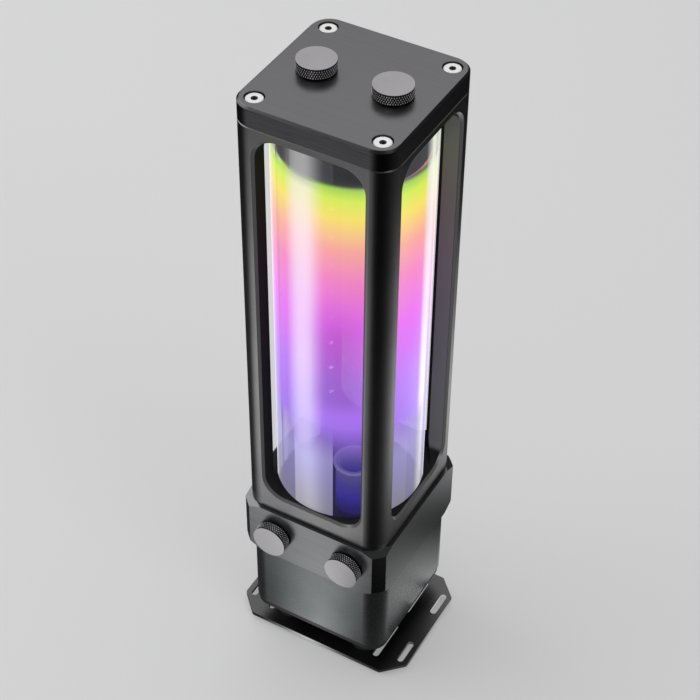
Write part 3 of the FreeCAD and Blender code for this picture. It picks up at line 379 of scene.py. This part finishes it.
# black sheet with a lighter cut edge all round and in its slots
plateLook = {
    "top": (0.145, 0.143, 0.147, 1), "topCloud": (0.170, 0.168, 0.173, 1),
    "cut": (0.34, 0.34, 0.345, 1), "cutFrom": 2.6 * mm, "cutTo": 4.38 * mm,
    "rough": (0.3, 0.4),
}


def sheetFinish():
    s = plateLook
    f = Finish("plateBlack", s["top"], 1.0)
    cut = f.between(f.height(), s["cutFrom"], s["cutTo"])
    f.set("Base Color", f.mixColour(cut, f.cloudy(s["top"], s["topCloud"]), s["cut"]))
    f.set("Roughness", f.satin(*s["rough"]))
    f.blast()
    return f.material


plateBlack = sheetFinish()
housingSatin = blastedMetal("housingSatin", (0.150, 0.162, 0.164, 1), (0.174, 0.187, 0.189, 1),
                            metallic=0.9, low=0.25, high=0.31, grain=0.0015 * mm)
capFace = blastedMetal("capFace", (0.500, 0.488, 0.508, 1), (0.540, 0.527, 0.548, 1),
                       low=0.32, high=0.4)
screwBright = blastedMetal("screwBright", (0.93, 0.93, 0.92, 1), (0.97, 0.97, 0.96, 1),
                           metallic=0.0, low=0.3, high=0.42, grain=0.004 * mm)
socketShade = blastedMetal("socketShade", (0.10, 0.10, 0.104, 1), (0.13, 0.13, 0.134, 1),
                          metallic=0.3, low=0.45, high=0.6)
boltSteel = blastedMetal("boltSteel", (0.10, 0.10, 0.105, 1), (0.15, 0.15, 0.155, 1),
                         low=0.3, high=0.42)
rubberBlack = moulded("rubberBlack", (0.016, 0.016, 0.017, 1), (0.024, 0.024, 0.025, 1),
                      low=0.62, high=0.8)
plasticBlack = moulded("plasticBlack", (0.020, 0.020, 0.021, 1), (0.028, 0.028, 0.030, 1))
impellerGrey = moulded("impellerGrey", (0.62, 0.62, 0.60, 1), (0.68, 0.68, 0.66, 1),
                       low=0.4, high=0.5)
magnetDark = moulded("magnetDark", (0.07, 0.068, 0.066, 1), (0.10, 0.098, 0.095, 1),
                     low=0.45, high=0.6)
ceramicWhite = moulded("ceramicWhite", (0.80, 0.80, 0.78, 1), (0.86, 0.86, 0.84, 1),
                       low=0.15, high=0.25)
stripWhite = moulded("stripWhite", (0.50, 0.49, 0.52, 1), (0.58, 0.57, 0.60, 1),
                     low=0.4, high=0.5)

bandLook = {"metallic": 1.0, "rough": 0.35, "deep": 0.05 * mm}
waveTurn = 20       # radians a metre that the wave node makes at a scale of 1


def banded(name, dark, light, pitch):
    # stacked sheets of the core, or turns of wire
    f = Finish(name, dark, bandLook["metallic"], bandLook["rough"])
    wave = f.add("ShaderNodeTexWave", wave_type="BANDS", bands_direction="Z")
    f.feed(wave.inputs["Vector"], f.place)
    f.feed(wave.inputs["Scale"], 2 * math.pi / pitch / waveTurn)
    share = wave.outputs[1]
    f.set("Base Color", f.mixColour(share, dark, light))
    f.bump(share, bandLook["deep"])
    return f.material


coreSteel = banded("coreSteel", (0.30, 0.30, 0.31, 1), (0.48, 0.48, 0.49, 1), 0.5 * mm)
copperWire = banded("copperWire", (0.42, 0.16, 0.07, 1), (0.78, 0.36, 0.18, 1), 0.6 * mm)

# the board's solder mask, with copper traces showing through
boardLook = {
    "scale": 260, "rough": 0.35, "Color1": (0.02, 0.12, 0.05, 1),
    "Color2": (0.03, 0.15, 0.07, 1), "Mortar": (0.06, 0.20, 0.09, 1),
}


def circuitGreen():
    s = boardLook
    f = Finish("circuitGreen", s["Color1"], 0, s["rough"])
    brick = f.add("ShaderNodeTexBrick")
    f.feed(brick.inputs["Vector"], f.place)
    f.feed(brick.inputs["Scale"], s["scale"])
    for socket in ("Color1", "Color2", "Mortar"):
        f.feed(brick.inputs[socket], s[socket])
    f.set("Base Color", brick.outputs[0])
    return f.material


boardGreen = circuitGreen()

# the strip's light painted onto the tube as a glow, indigo at the foot over violet, magenta,
# pink, orange and yellow to lime at the head, and painted reflections in paler bands: heights
# in metres and plain mixing tones
glowColours = [
    (0.090, (90, 85, 160)), (0.100, (90, 85, 160)), (0.135, (110, 95, 200)),
    (0.160, (160, 115, 240)), (0.195, (190, 120, 250)), (0.228, (240, 105, 245)),
    (0.255, (250, 135, 190)), (0.272, (255, 175, 145)), (0.289, (250, 235, 80)),
    (0.299, (210, 245, 65)), (0.3045, (160, 215, 75)), (0.3065, (90, 90, 90)),
    (0.310, (80, 80, 85)),
]
paleColours = [
    (0.090, (188, 185, 190)), (0.110, (188, 185, 190)), (0.124, (195, 190, 222)),
    (0.138, (203, 198, 248)), (0.165, (215, 200, 255)), (0.200, (240, 215, 255)),
    (0.240, (255, 232, 255)), (0.275, (255, 245, 245)), (0.300, (248, 246, 225)),
    (0.305, (195, 195, 195)), (0.310, (190, 190, 190)),
]
highlightWhite = (0.97, 0.95, 0.97, 1)

# the tube's painted glow and painted reflections: bands are given by their middle and half width
# in degrees
tubeLook = {
    "base": (0.012, 0.012, 0.014, 1), "rough": 0.07, "index": 1.49,
    "outerFrom": 35.0 * mm,     # radius past which a point is on the outer face
    # how much the coloured glow hides, by height
    "glow": [(0.090, 0.10), (0.140, 0.10), (0.166, 0.93), (0.205, 0.92), (0.235, 0.84),
             (0.270, 0.84), (0.300, 0.90), (0.3042, 0.92), (0.3060, 0.40), (0.310, 0.35)],
    "clearHide": 0.04,          # how much the tube hides where it is clearest
    "bandFade": (0.15, 1.25),   # shares of the half width between which a band fades
    # painted reflections: pale bands at the front and at the sides
    "frontBand": (-8.5, 15.5), "frontReflection": 0.76, "sideBand": (97.0, 9.0), "sideReflection": 0.72,
    "bandHide": 0.95,
    # the pale foot of the painted glow, which has hard edges and is clear only before the pipe
    "footFade": (140.0 * mm, 166.0 * mm), "footHide": 0.84, "footPale": 0.85,
    "footFront": (-1.0, 17.0), "footFrontFade": (-6.0, 16.0), "footFrontLoss": 0.3,
    "footSide": (66.0, 11.0), "footSideShare": 0.75,
    "footGap": (36.0, 20.0), "restHide": 0.62, "restPale": 0.5,
    # the wall seen edge on, painted white as a highlight
    "rimPower": 9.0, "rimGain": 1.6, "rimHide": 0.9, "rimHighlight": 0.6,
    # painted shade: the middle of the front is a little darker in its lower two thirds
    "dimBand": (20.0, 26.0), "dimShare": 0.30,
    "dimFrom": (170.0 * mm, 185.0 * mm), "dimTo": (215.0 * mm, 255.0 * mm),
    "lean": 0.09,               # how much higher the colours lie on the left than on the right
    "thrown": 0.14,             # share of the glow that reaches the metal round the tube
}


def tubeGlow():
    s = tubeLook
    f = Finish("tubeGlow", s["base"], 0, s["rough"])
    f.set("IOR", s["index"])
    x, y, z = f.axes()
    angle = f.azimuth(x, y)
    outer = f.math("GREATER_THAN", f.radius(x, y), s["outerFrom"])

    def away(middle):
        # degrees from a band's middle, or from the same place on the far side
        return f.math("PINGPONG", f.minus(angle, middle - 360), 90)

    def band(middle, half):
        low, high = (half * share for share in s["bandFade"])
        return f.inverse(f.fade(away(middle), low, high))

    def hardBand(middle, half):
        return f.math("LESS_THAN", away(middle), half)

    side = f.times(band(*s["sideBand"]), s["sideReflection"])
    paintedReflection = f.larger(f.times(band(*s["frontBand"]), s["frontReflection"]), side)
    weaker = f.inverse(f.times(f.fade(angle, *s["footFrontFade"]), s["footFrontLoss"]))
    foot = f.larger(f.times(hardBand(*s["footFront"]), weaker),
                    f.times(hardBand(*s["footSide"]), s["footSideShare"]))
    rest = f.inverse(hardBand(*s["footGap"]))
    rim = f.times(f.rim(s["rimPower"]), s["rimGain"], clamp=True)

    hide = f.gradedLevels(z, s["glow"])
    for share, amount in ((paintedReflection, "bandHide"), (foot, "footHide"), (rest, "restHide")):
        hide = f.larger(hide, f.times(share, s[amount]))
    hide = f.larger(f.times(hide, outer), s["clearHide"])
    f.set("Alpha", f.larger(hide, f.times(rim, s["rimHide"]), clamp=True))

    hue = f.gradedTones(f.plus(z, f.times(x, s["lean"])), glowColours)
    low = f.inverse(f.fade(z, *s["footFade"]))
    paleFoot = f.larger(f.times(foot, s["footPale"]), f.times(rest, s["restPale"]))
    pale = f.larger(f.larger(paintedReflection, f.times(paleFoot, low)), rim)
    colour = f.mixColour(pale, hue, f.gradedTones(z, paleColours))
    colour = f.mixColour(f.larger(side, f.times(rim, s["rimHighlight"])), colour, highlightWhite)
    deep = f.times(f.fade(z, *s["dimFrom"]), f.inverse(f.fade(z, *s["dimTo"])))
    dim = f.times(f.times(band(*s["dimBand"]), deep), s["dimShare"])
    # painted glow: the tube's surface emits the strip's light
    f.set("Emission Color", f.mixColour(f.times(outer, f.inverse(dim)), grey(0), colour))
    rays = f.add("ShaderNodeLightPath").outputs
    thrown = f.larger(rays["Is Diffuse Ray"], rays["Is Glossy Ray"])
    f.set("Emission Strength", f.inverse(f.times(thrown, 1.0 - s["thrown"])))
    f.material.cycles.emission_sampling = "NONE"
    return f.material


tubeClear = tubeGlow()

# clear acrylic that shows mostly at its edges, with the strip's blue light painted on as a glow;
# the pipe's painted glow is darker towards its foot
pipeLook = {
    "base": (0.040, 0.032, 0.12, 1), "rough": 0.08, "rimPower": 2.2, "rimHide": 0.36,
    "hide": 0.56, "strength": 0.55,
    "colours": [(0.092, (30, 26, 62)), (0.098, (45, 38, 120)), (0.106, (66, 56, 185)),
                (0.114, (84, 76, 165)), (0.120, (104, 96, 150)), (0.124, (120, 112, 165))],
}
ringLook = {
    "base": (0.42, 0.36, 0.72, 1), "rough": 0.08, "rimPower": 2.2, "rimHide": 0.5,
    "hide": 0.42, "strength": 0.25,
}


def clearPlastic(name, s):
    f = Finish(name, s["base"], 0, s["rough"])
    f.set("Alpha", f.plus(f.times(f.rim(s["rimPower"]), s["rimHide"]), s["hide"], clamp=True))
    # painted glow: the plastic emits the strip's light
    f.set("Emission Color", s["base"])
    if "colours" in s:
        f.set("Emission Color", f.gradedTones(f.height(), s["colours"]))
    f.set("Emission Strength", s["strength"])
    return f.material


pipeClear = clearPlastic("pipeClear", pipeLook)
ringClear = clearPlastic("ringClear", ringLook)

lampLook = {"base": (0.9, 0.9, 0.9, 1), "rough": 0.3, "hueShare": 0.45, "strength": 3.0}


def lampLit():
    # a lit lamp: the strip's colour at its height, paler
    s = lampLook
    f = Finish("lampLit", s["base"], 0, s["rough"])
    hue = f.gradedTones(f.height(), glowColours)
    f.set("Emission Color", f.mixColour(s["hueShare"], hue, grey(1)))
    f.set("Emission Strength", s["strength"])
    return f.material


lampGlow = lampLit()

dressing = {
    "base_plate": plateBlack, "base_feet": rubberBlack, "dampers": rubberBlack,
    "damper_screws": boltSteel, "damper_studs": boltSteel, "bottom_cover": plasticBlack,
    "pump_housing": housingSatin, "cable_grommet": rubberBlack, "driver_board": boardGreen,
    "stator_core": coreSteel, "stator_coils": copperWire, "rotor_can": plasticBlack,
    "pump_shaft": ceramicWhite, "rotor_magnet": magnetDark, "impeller": impellerGrey,
    "block_seal": rubberBlack, "port_block": blockSatin, "tie_bolts": boltSteel,
    "reservoir_frame": frameBlack, "reservoir_tube": tubeClear, "tube_foot_seal": rubberBlack,
    "standpipe": pipeClear, "light_strip": stripWhite, "top_cover": coverBlack,
    "tube_head_seal": rubberBlack, "plug_seal_top_left": rubberBlack,
    "plug_seal_top_right": rubberBlack, "plug_seal_front_left": rubberBlack,
    "plug_seal_front_right": rubberBlack,
}
for nodeName, material in dressing.items():
    obj = cadNodes[nodeName]
    if not obj.material_slots:
        obj.data.materials.append(material)
    for holder in obj.material_slots:
        holder.material = material
print("frame dressed")


def finishMesh(name, bm, materials, sharp=32):
    mesh = bpy.data.meshes.new(name)
    bm.to_mesh(mesh)
    bm.free()
    for material in materials:
        mesh.materials.append(material)
    mesh.shade_smooth()
    mesh.set_sharp_from_angle(angle=math.radians(sharp))
    obj = bpy.data.objects.new(name, mesh)
    bpy.context.scene.collection.objects.link(obj)
    return obj


same = 1e-6     # radii closer than this are the same
weld = 1e-7     # vertices closer than this become one


def spinOutline(bm, outline, steps):
    # turns an outline of (radius, height) round Z into a closed shell
    verts = [bm.verts.new((radius, 0, height)) for radius, height in outline]
    edges = [bm.edges.new(pair) for pair in zip(verts, verts[1:])]
    bmesh.ops.spin(bm, geom=verts + edges, cent=(0, 0, 0), axis=(0, 0, 1),
                   angle=2 * math.pi, steps=steps, use_merge=True)
    bmesh.ops.remove_doubles(bm, verts=bm.verts, dist=weld)
    bmesh.ops.recalc_face_normals(bm, faces=bm.faces)


def radiusOf(point):
    return math.hypot(point.x, point.y)


plugSizes = {
    "capRadius": 9.0 * mm, "capFoot": 0.25 * mm, "capHead": 5.45 * mm, "edge": 0.15 * mm,
    "headRing": 0.25 * mm, "footChamfer": 0.3 * mm, "topDeep": 0.01 * mm, "sharp": 24,
    "knurls": 52, "knurlSteps": 4, "knurlDepth": 0.36 * mm, "knurlRows": 9,
    "firstRowShare": 0.15, "lastRowShare": 0.5,
    "sealRoomRadius": 8.35 * mm, "sealRoomDeep": 1.45 * mm,
    "rootRadius": 5.72 * mm, "threadRadius": 6.5 * mm, "pitch": 1.337 * mm,
    "stubLong": 8.0 * mm, "stubChamfer": 0.5 * mm, "boreRadius": 4.0 * mm, "boreDeep": 6.0 * mm,
    "ridgeShare": 0.42, "ridgeSunk": 0.1 * mm, "ridgeFrom": 0.75 * mm,
    "ridgeTurns": 5.5, "ridgeSteps": 48,
}


def rimRows():
    # the top of the knurl and the height of one of its rows
    s = plugSizes
    high = s["capHead"] - s["edge"]
    return high, (high - s["capFoot"] - s["footChamfer"]) / s["knurlRows"]


def plugOutline():
    s = plugSizes
    r, foot, head = s["capRadius"], s["capFoot"], s["capHead"]
    high, rise = rimRows()
    end, root, room = -s["stubLong"], s["rootRadius"], s["sealRoomRadius"]
    seat, bore = foot + s["sealRoomDeep"], -s["stubLong"] + s["boreDeep"]
    rows = [(r, high - rise * row) for row in range(s["knurlRows"] + 1)]
    return [(0, head), (r - s["edge"] - s["headRing"], head), (r - s["edge"], head), *rows,
            (r - s["footChamfer"], foot), (room, foot), (room, seat), (root, seat),
            (root, end + s["stubChamfer"]), (root - s["stubChamfer"], end),
            (s["boreRadius"], end), (s["boreRadius"], bore), (0, bore)]


def cutKnurl(bm, steps):
    # diamond knurl: crossed grooves every fourth step
    s = plugSizes
    r, period = s["capRadius"], s["knurlSteps"]
    high, rise = rimRows()
    tip = bm.verts.layers.float.new("knurlTip")
    parity = {}
    for v in bm.verts:
        if abs(radiusOf(v.co) - r) > same:
            continue
        row = round((high - v.co.z) / rise)
        step = round(math.atan2(v.co.y, v.co.x) / (2 * math.pi) * steps)
        parity[v] = (step + row) % 2
        peak = min(abs(way % period - period / 2) for way in (step + row, step - row))
        peak /= period / 2
        depth = 1 - peak
        if row == 0:
            depth = s["firstRowShare"]
        elif row == s["knurlRows"]:
            depth = s["lastRowShare"]
        else:
            v[tip] = peak
        v.co.xy *= (r - s["knurlDepth"] * depth) / r
    for face in [face for face in bm.faces if all(v in parity for v in face.verts)]:
        ends = [v for v in face.verts if parity[v] == 0]
        if len(ends) == 2 and len(face.verts) == 4:
            bmesh.utils.face_split(face, ends[0], ends[1])


def addThread(bm):
    # one helical ridge up the stub
    s = plugSizes
    half = s["pitch"] * s["ridgeShare"]
    low, sunk = s["ridgeFrom"] - s["stubLong"], s["rootRadius"] - s["ridgeSunk"]
    ridge = [bm.verts.new(co) for co in ((sunk, 0, low - half), (s["threadRadius"], 0, low),
                                         (sunk, 0, low + half))]
    start = bm.faces.new(ridge)
    bmesh.ops.spin(bm, geom=ridge + list(start.edges) + [start], cent=(0, 0, 0), axis=(0, 0, 1),
                   dvec=(0, 0, s["pitch"] / s["ridgeSteps"]),
                   angle=2 * math.pi * s["ridgeTurns"],
                   steps=int(s["ridgeSteps"] * s["ridgeTurns"]))
    bmesh.ops.holes_fill(bm, edges=[e for e in bm.edges if e.is_boundary], sides=4)


def buildPlug(name, matrix, body, node):
    s = plugSizes
    steps = s["knurls"] * s["knurlSteps"]
    bm = bmesh.new()
    spinOutline(bm, plugOutline(), steps)
    cutKnurl(bm, steps)
    for face in bm.faces:
        onTop = face.calc_center_median().z > s["capHead"] - s["topDeep"]
        face.material_index = 1 if onTop else 0
    addThread(bm)
    bmesh.ops.recalc_face_normals(bm, faces=bm.faces)
    bmesh.ops.transform(bm, matrix=matrix, verts=bm.verts)
    obj = finishMesh(name, bm, [capRim, capFace], s["sharp"])
    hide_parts(node)
    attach(obj, body)


plugPlaces = {
    "topX": 18.2 * mm, "topFace": 332.0 * mm,
    "frontX": 20.3 * mm, "frontFace": axisY - 39.8 * mm, "frontZ": 79.4 * mm,
}


def buildPlugs():
    s = plugPlaces
    for side, sign in (("left", -1), ("right", 1)):
        buildPlug("knurledPlugTop" + side.capitalize(),
                  Matrix.Translation((s["topX"] * sign, axisY, s["topFace"])),
                  "plug_top_" + side, "plug_top_" + side)
        buildPlug("knurledPlugFront" + side.capitalize(),
                  Matrix.Translation((s["frontX"] * sign, s["frontFace"], s["frontZ"]))
                  @ Matrix.Rotation(math.pi / 2, 4, "X"),
                  "plug_front_" + side, "plug_front_" + side)


buildPlugs()
print("plugs built")

screwSizes = {
    "spacing": 60.0 * mm, "seat": 328.0 * mm, "headRadius": 4.0 * mm, "headRise": 3.4 * mm,
    "headEdge": 0.1 * mm, "round": 0.45 * mm, "roundSteps": 4,
    "socketHalf": 1.25 * mm, "socketDeep": 2.2 * mm, "socketTip": 0.5 * mm,
    "socketChamfer": 0.12 * mm,
    "socketRim": 0.2 * mm,
    "shankRadius": 2.0 * mm, "shankLong": 14.0 * mm, "shankChamfer": 0.5 * mm,
    "steps": 48, "sharp": 30,
}
socketCorner = screwSizes["socketHalf"] / math.cos(math.pi / 6)


def screwOutline():
    s = screwSizes
    top, corner, shank, end = s["headRise"], socketCorner, s["shankRadius"], -s["shankLong"]
    floor, shoulder = top - s["socketDeep"], s["headRadius"] - s["round"]
    outline = [(0, floor - s["socketTip"]), (corner, floor), (corner, top - s["socketChamfer"]),
               (corner + s["socketChamfer"], top), (shoulder, top)]
    for k in range(1, s["roundSteps"] + 1):
        a = math.pi / 2 * k / s["roundSteps"]
        outline.append((shoulder + s["round"] * math.sin(a),
                        top - s["round"] + s["round"] * math.cos(a)))
    return outline + [(s["headRadius"], s["headEdge"]), (s["headRadius"] - s["headEdge"], 0),
                      (shank, 0), (shank, end + s["shankChamfer"]),
                      (shank - s["shankChamfer"], end), (0, end)]


def buildScrews():
    s = screwSizes
    bm = bmesh.new()
    spinOutline(bm, screwOutline(), s["steps"])
    for v in bm.verts:      # the socket's wall goes from round to hexagonal
        radius = radiusOf(v.co)
        if abs(radius - socketCorner) < same:
            a = math.atan2(v.co.y, v.co.x) % (math.pi / 3) - math.pi / 6
            v.co.xy *= s["socketHalf"] / math.cos(a) / radius
    for face in bm.faces:   # painted shade: the socket's inside takes a darker material
        c = face.calc_center_median()
        inside = radiusOf(c) < socketCorner + s["socketRim"] and c.z > 0
        face.material_index = 1 if inside else 0
    one = bm.verts[:] + bm.edges[:] + bm.faces[:]
    firstVerts = bm.verts[:]
    half = s["spacing"] / 2
    for x, y in ((half, -half), (half, half), (-half, half)):
        copy = bmesh.ops.duplicate(bm, geom=one)["geom"]
        verts = [item for item in copy if isinstance(item, bmesh.types.BMVert)]
        bmesh.ops.translate(bm, vec=(x, y + axisY, s["seat"]), verts=verts)
    bmesh.ops.translate(bm, vec=(-half, -half + axisY, s["seat"]), verts=firstVerts)
    obj = finishMesh("coverScrewSet", bm, [screwBright, socketShade], s["sharp"])
    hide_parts("cover_screws")
    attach(obj, "stand")


buildScrews()

pipeRings = {
    "x": 9.5 * mm, "y": -13.0 * mm, "steps": 72, "edge": 0.3 * mm, "sharp": 40,
    # inner and outer radius, foot and head
    "head": (9.05 * mm, 10.3 * mm, 123.5 * mm, 124.2 * mm),
    "foot": (9.05 * mm, 11.0 * mm, 92.0 * mm, 93.6 * mm),
}


def buildPipeRings():
    s = pipeRings
    bm = bmesh.new()
    for inner, outer, low, high in (s["head"], s["foot"]):
        edge = s["edge"]
        outline = [(inner, low), (outer - edge, low), (outer, low + edge), (outer, high - edge),
                   (outer - edge, high), (inner, high), (inner, low)]
        spinOutline(bm, outline, s["steps"])
    bmesh.ops.translate(bm, vec=(s["x"], s["y"] + axisY, 0), verts=bm.verts)
    obj = finishMesh("standpipeRings", bm, [ringClear], s["sharp"])
    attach(obj, "stand")


buildPipeRings()

lampSizes = {
    "count": 12, "pitch": 200.0 / 12 * mm, "middleZ": 211.6 * mm, "wide": 3.5 * mm,
    "thick": 1.3 * mm, "seatRadius": 38.6 * mm, "edge": 0.2 * mm, "edgeSteps": 2,
    "lensRadius": 1.25 * mm, "lensTaper": 0.9, "lensProud": 0.12 * mm, "lensSteps": 28,
    "sharp": 30,
}


def buildLamps():
    s = lampSizes
    bm = bmesh.new()
    # the lamps look from the rear left post to the axis
    out = (s["seatRadius"] - s["thick"] / 2) / math.sqrt(2)
    turned = Matrix.Rotation(math.radians(45), 4, "Z")
    for k in range(s["count"]):
        z = s["middleZ"] + s["pitch"] * (k - (s["count"] - 1) / 2)
        place = Matrix.Translation((-out, axisY + out, z)) @ turned
        shell = bmesh.ops.create_cube(bm, size=1.0, matrix=place @ Matrix.Diagonal(
            (s["wide"], s["thick"], s["wide"], 1)))["verts"]
        edges = list({e for v in shell for e in v.link_edges})
        bmesh.ops.bevel(bm, geom=edges, offset=s["edge"], offset_type="OFFSET", affect="EDGES",
                        segments=s["edgeSteps"], profile=0.5, material=-1)
        lens = bmesh.ops.create_cone(
            bm, cap_ends=True, segments=s["lensSteps"], radius1=s["lensRadius"],
            radius2=s["lensRadius"] * s["lensTaper"], depth=s["thick"],
            matrix=place @ Matrix.Translation((0, -s["lensProud"], 0))
            @ Matrix.Rotation(math.pi / 2, 4, "X"))["verts"]
        for face in {face for v in lens for face in v.link_faces}:
            face.material_index = 1
    obj = finishMesh("stripLamps", bm, [stripWhite, lampGlow], s["sharp"])
    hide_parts("light_strip_lamps")
    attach(obj, "stand")


buildLamps()
print("screws and lamps built")

studio = {
    "backdrop": tone(205, 205, 206), "worldLight": 0.5, "worldMirror": 0.07,
    "floor": (0.80, 0.80, 0.80, 1), "floorRough": 0.75, "floorSize": 9.0,
    "floorShare": 0.42,             # how much of the floor seen is the backdrop's plain tone
    "floorBlend": (0.75, 2.6),      # it becomes all of it between these distances, in metres
    # pale and black cards lying round the object, seen only in its gloss:
    # degrees round from the front, + to the right, and how bright
    "cards": [(-180, 0.45), (-135, 0.05), (-66, 0.05), (-54, 0.45), (-43, 1.2), (-31, 1.4),
              (-20, 0.8), (-5, 0.25), (8, 0.08), (25, 0.03), (50, 0.04), (72, 0.12), (95, 0.42),
              (125, 0.9), (150, 1.0), (165, 0.6), (180, 0.45)],
    # close in front of the object they are turned by so many degrees
    "turn": 22.0, "turnReach": (0.07, 0.19), "turnEnd": (0.03, 0.05),
    # how bright they are by distance in metres, left of the object and right of it
    "leftFade": [(0.0, 0.92), (0.09, 0.9), (0.11, 0.86), (0.14, 0.86), (0.19, 1.0), (0.25, 1.0),
                 (0.31, 0.85), (0.35, 0.75), (0.40, 0.4), (0.7, 0.12), (1.0, 0.1)],
    "rightFade": [(0.0, 1.1), (0.05, 1.8), (0.06, 1.0), (0.072, 0.55), (0.084, 0.25),
                  (0.093, 0.05), (0.112, 0.04), (0.16, 0.8), (0.20, 1.15), (0.225, 1.1),
                  (0.26, 0.6), (0.335, 0.4), (0.352, 0.05), (0.5, 0.03), (1.0, 0.05)],
    "sideBlend": (-0.02, 0.02),     # where the one side turns into the other
}


def cardLight(f, x, y, far):
    # what gloss sees of the floor
    s = studio
    close = f.times(f.inverse(f.fade(far, *s["turnReach"])), f.inverse(f.fade(x, *s["turnEnd"])))
    card = f.gradedLevels(f.minus(f.azimuth(x, y), f.times(close, s["turn"])), s["cards"])
    faded = f.mixColour(f.fade(x, *s["sideBlend"]), f.gradedLevels(far, s["leftFade"]),
                        f.gradedLevels(far, s["rightFade"]))
    return f.times(card, faded)


def floorFinish():
    s = studio
    f = Finish("paleFloor", s["floor"], 0, s["floorRough"])
    x, y = f.split(f.place)[:2]
    far = f.radius(x, y)
    rays = f.add("ShaderNodeLightPath").outputs
    seen = f.larger(f.larger(rays["Is Camera Ray"], rays["Is Glossy Ray"]),
                    rays["Is Transmission Ray"])
    glow = f.add("ShaderNodeEmission")
    f.feed(glow.inputs["Color"],
           f.mixColour(rays["Is Glossy Ray"], s["backdrop"], cardLight(f, x, y, far)))
    # gloss sees the cards alone, the camera sees some of the lit floor with its shadow
    plain = f.larger(f.fade(far, *s["floorBlend"]), s["floorShare"])
    share = f.larger(f.times(seen, plain), rays["Is Glossy Ray"])
    mix = f.add("ShaderNodeMixShader")
    for socket, source in zip(mix.inputs, (share, f.shader.outputs[0], glow.outputs[0])):
        f.feed(socket, source)
    f.feed(f.tree.nodes["Material Output"].inputs["Surface"], mix.outputs[0])
    return f.material


def buildFloor():
    bm = bmesh.new()
    bmesh.ops.create_grid(bm, x_segments=1, y_segments=1, size=studio["floorSize"])
    floor = finishMesh("studioFloor", bm, [floorFinish()])


def buildSky():
    world = bpy.data.worlds.new("studioWorld")
    bpy.context.scene.world = world
    world.use_nodes = True
    sky = Nodes(world.node_tree)
    rays = sky.add("ShaderNodeLightPath").outputs
    unseen = sky.mixColour(rays["Is Glossy Ray"], grey(studio["worldLight"]),
                           grey(studio["worldMirror"]))
    seen = sky.mixColour(rays["Is Camera Ray"], unseen, studio["backdrop"])
    sky.feed(sky.tree.nodes["Background"].inputs["Color"], seen)


lights = {
    "keyLeft": {"place": (-1.70, -0.35, 1.30), "size": (2.2, 2.2), "power": 20},
    "fillRight": {"place": (1.5, -0.5, 0.9), "size": (0.8, 1.2), "power": 5},
    "topBack": {"place": (-0.58, 1.03, 1.75), "size": (1.6, 1.6), "power": 6.6},
}
lightAim = Vector((0, 0, 0.18))


def buildLight(name, s):
    data = bpy.data.lights.new(name, "AREA")
    data.shape = "RECTANGLE"
    data.size, data.size_y = s["size"]
    data.energy = s["power"]
    lamp = bpy.data.objects.new(name, data)
    lamp.location = s["place"]
    lamp.rotation_euler = (lightAim - Vector(s["place"])).to_track_quat("-Z", "Y").to_euler()
    bpy.context.scene.collection.objects.link(lamp)


view = {
    "place": Vector((0.31227, -0.55371, 0.77013)), "azimuth": 29.367, "elevation": 42.688,
    "roll": 0.571, "lens": 95.58, "sensor": 36.0,
}


def buildCamera():
    az, el, roll = (math.radians(view[key]) for key in ("azimuth", "elevation", "roll"))
    backward = Vector((math.sin(az) * math.cos(el), -math.cos(az) * math.cos(el), math.sin(el)))
    level = Vector((math.cos(az), math.sin(az), 0))
    upward = backward.cross(level)
    right = level * math.cos(roll) + upward * math.sin(roll)
    upward = upward * math.cos(roll) - level * math.sin(roll)
    data = bpy.data.cameras.new("pictureCamera")
    data.lens, data.sensor_width = view["lens"], view["sensor"]
    data.sensor_fit = "HORIZONTAL"
    camera = bpy.data.objects.new("pictureCamera", data)
    turn = Matrix((right, upward, backward)).transposed().to_4x4()
    camera.matrix_world = Matrix.Translation(view["place"]) @ turn
    bpy.context.scene.collection.objects.link(camera)
    bpy.context.scene.camera = camera


buildFloor()
buildSky()
for name, sizes in lights.items():
    buildLight(name, sizes)
buildCamera()
bpy.context.scene.view_settings.view_transform = "Standard"
print("studio ready")
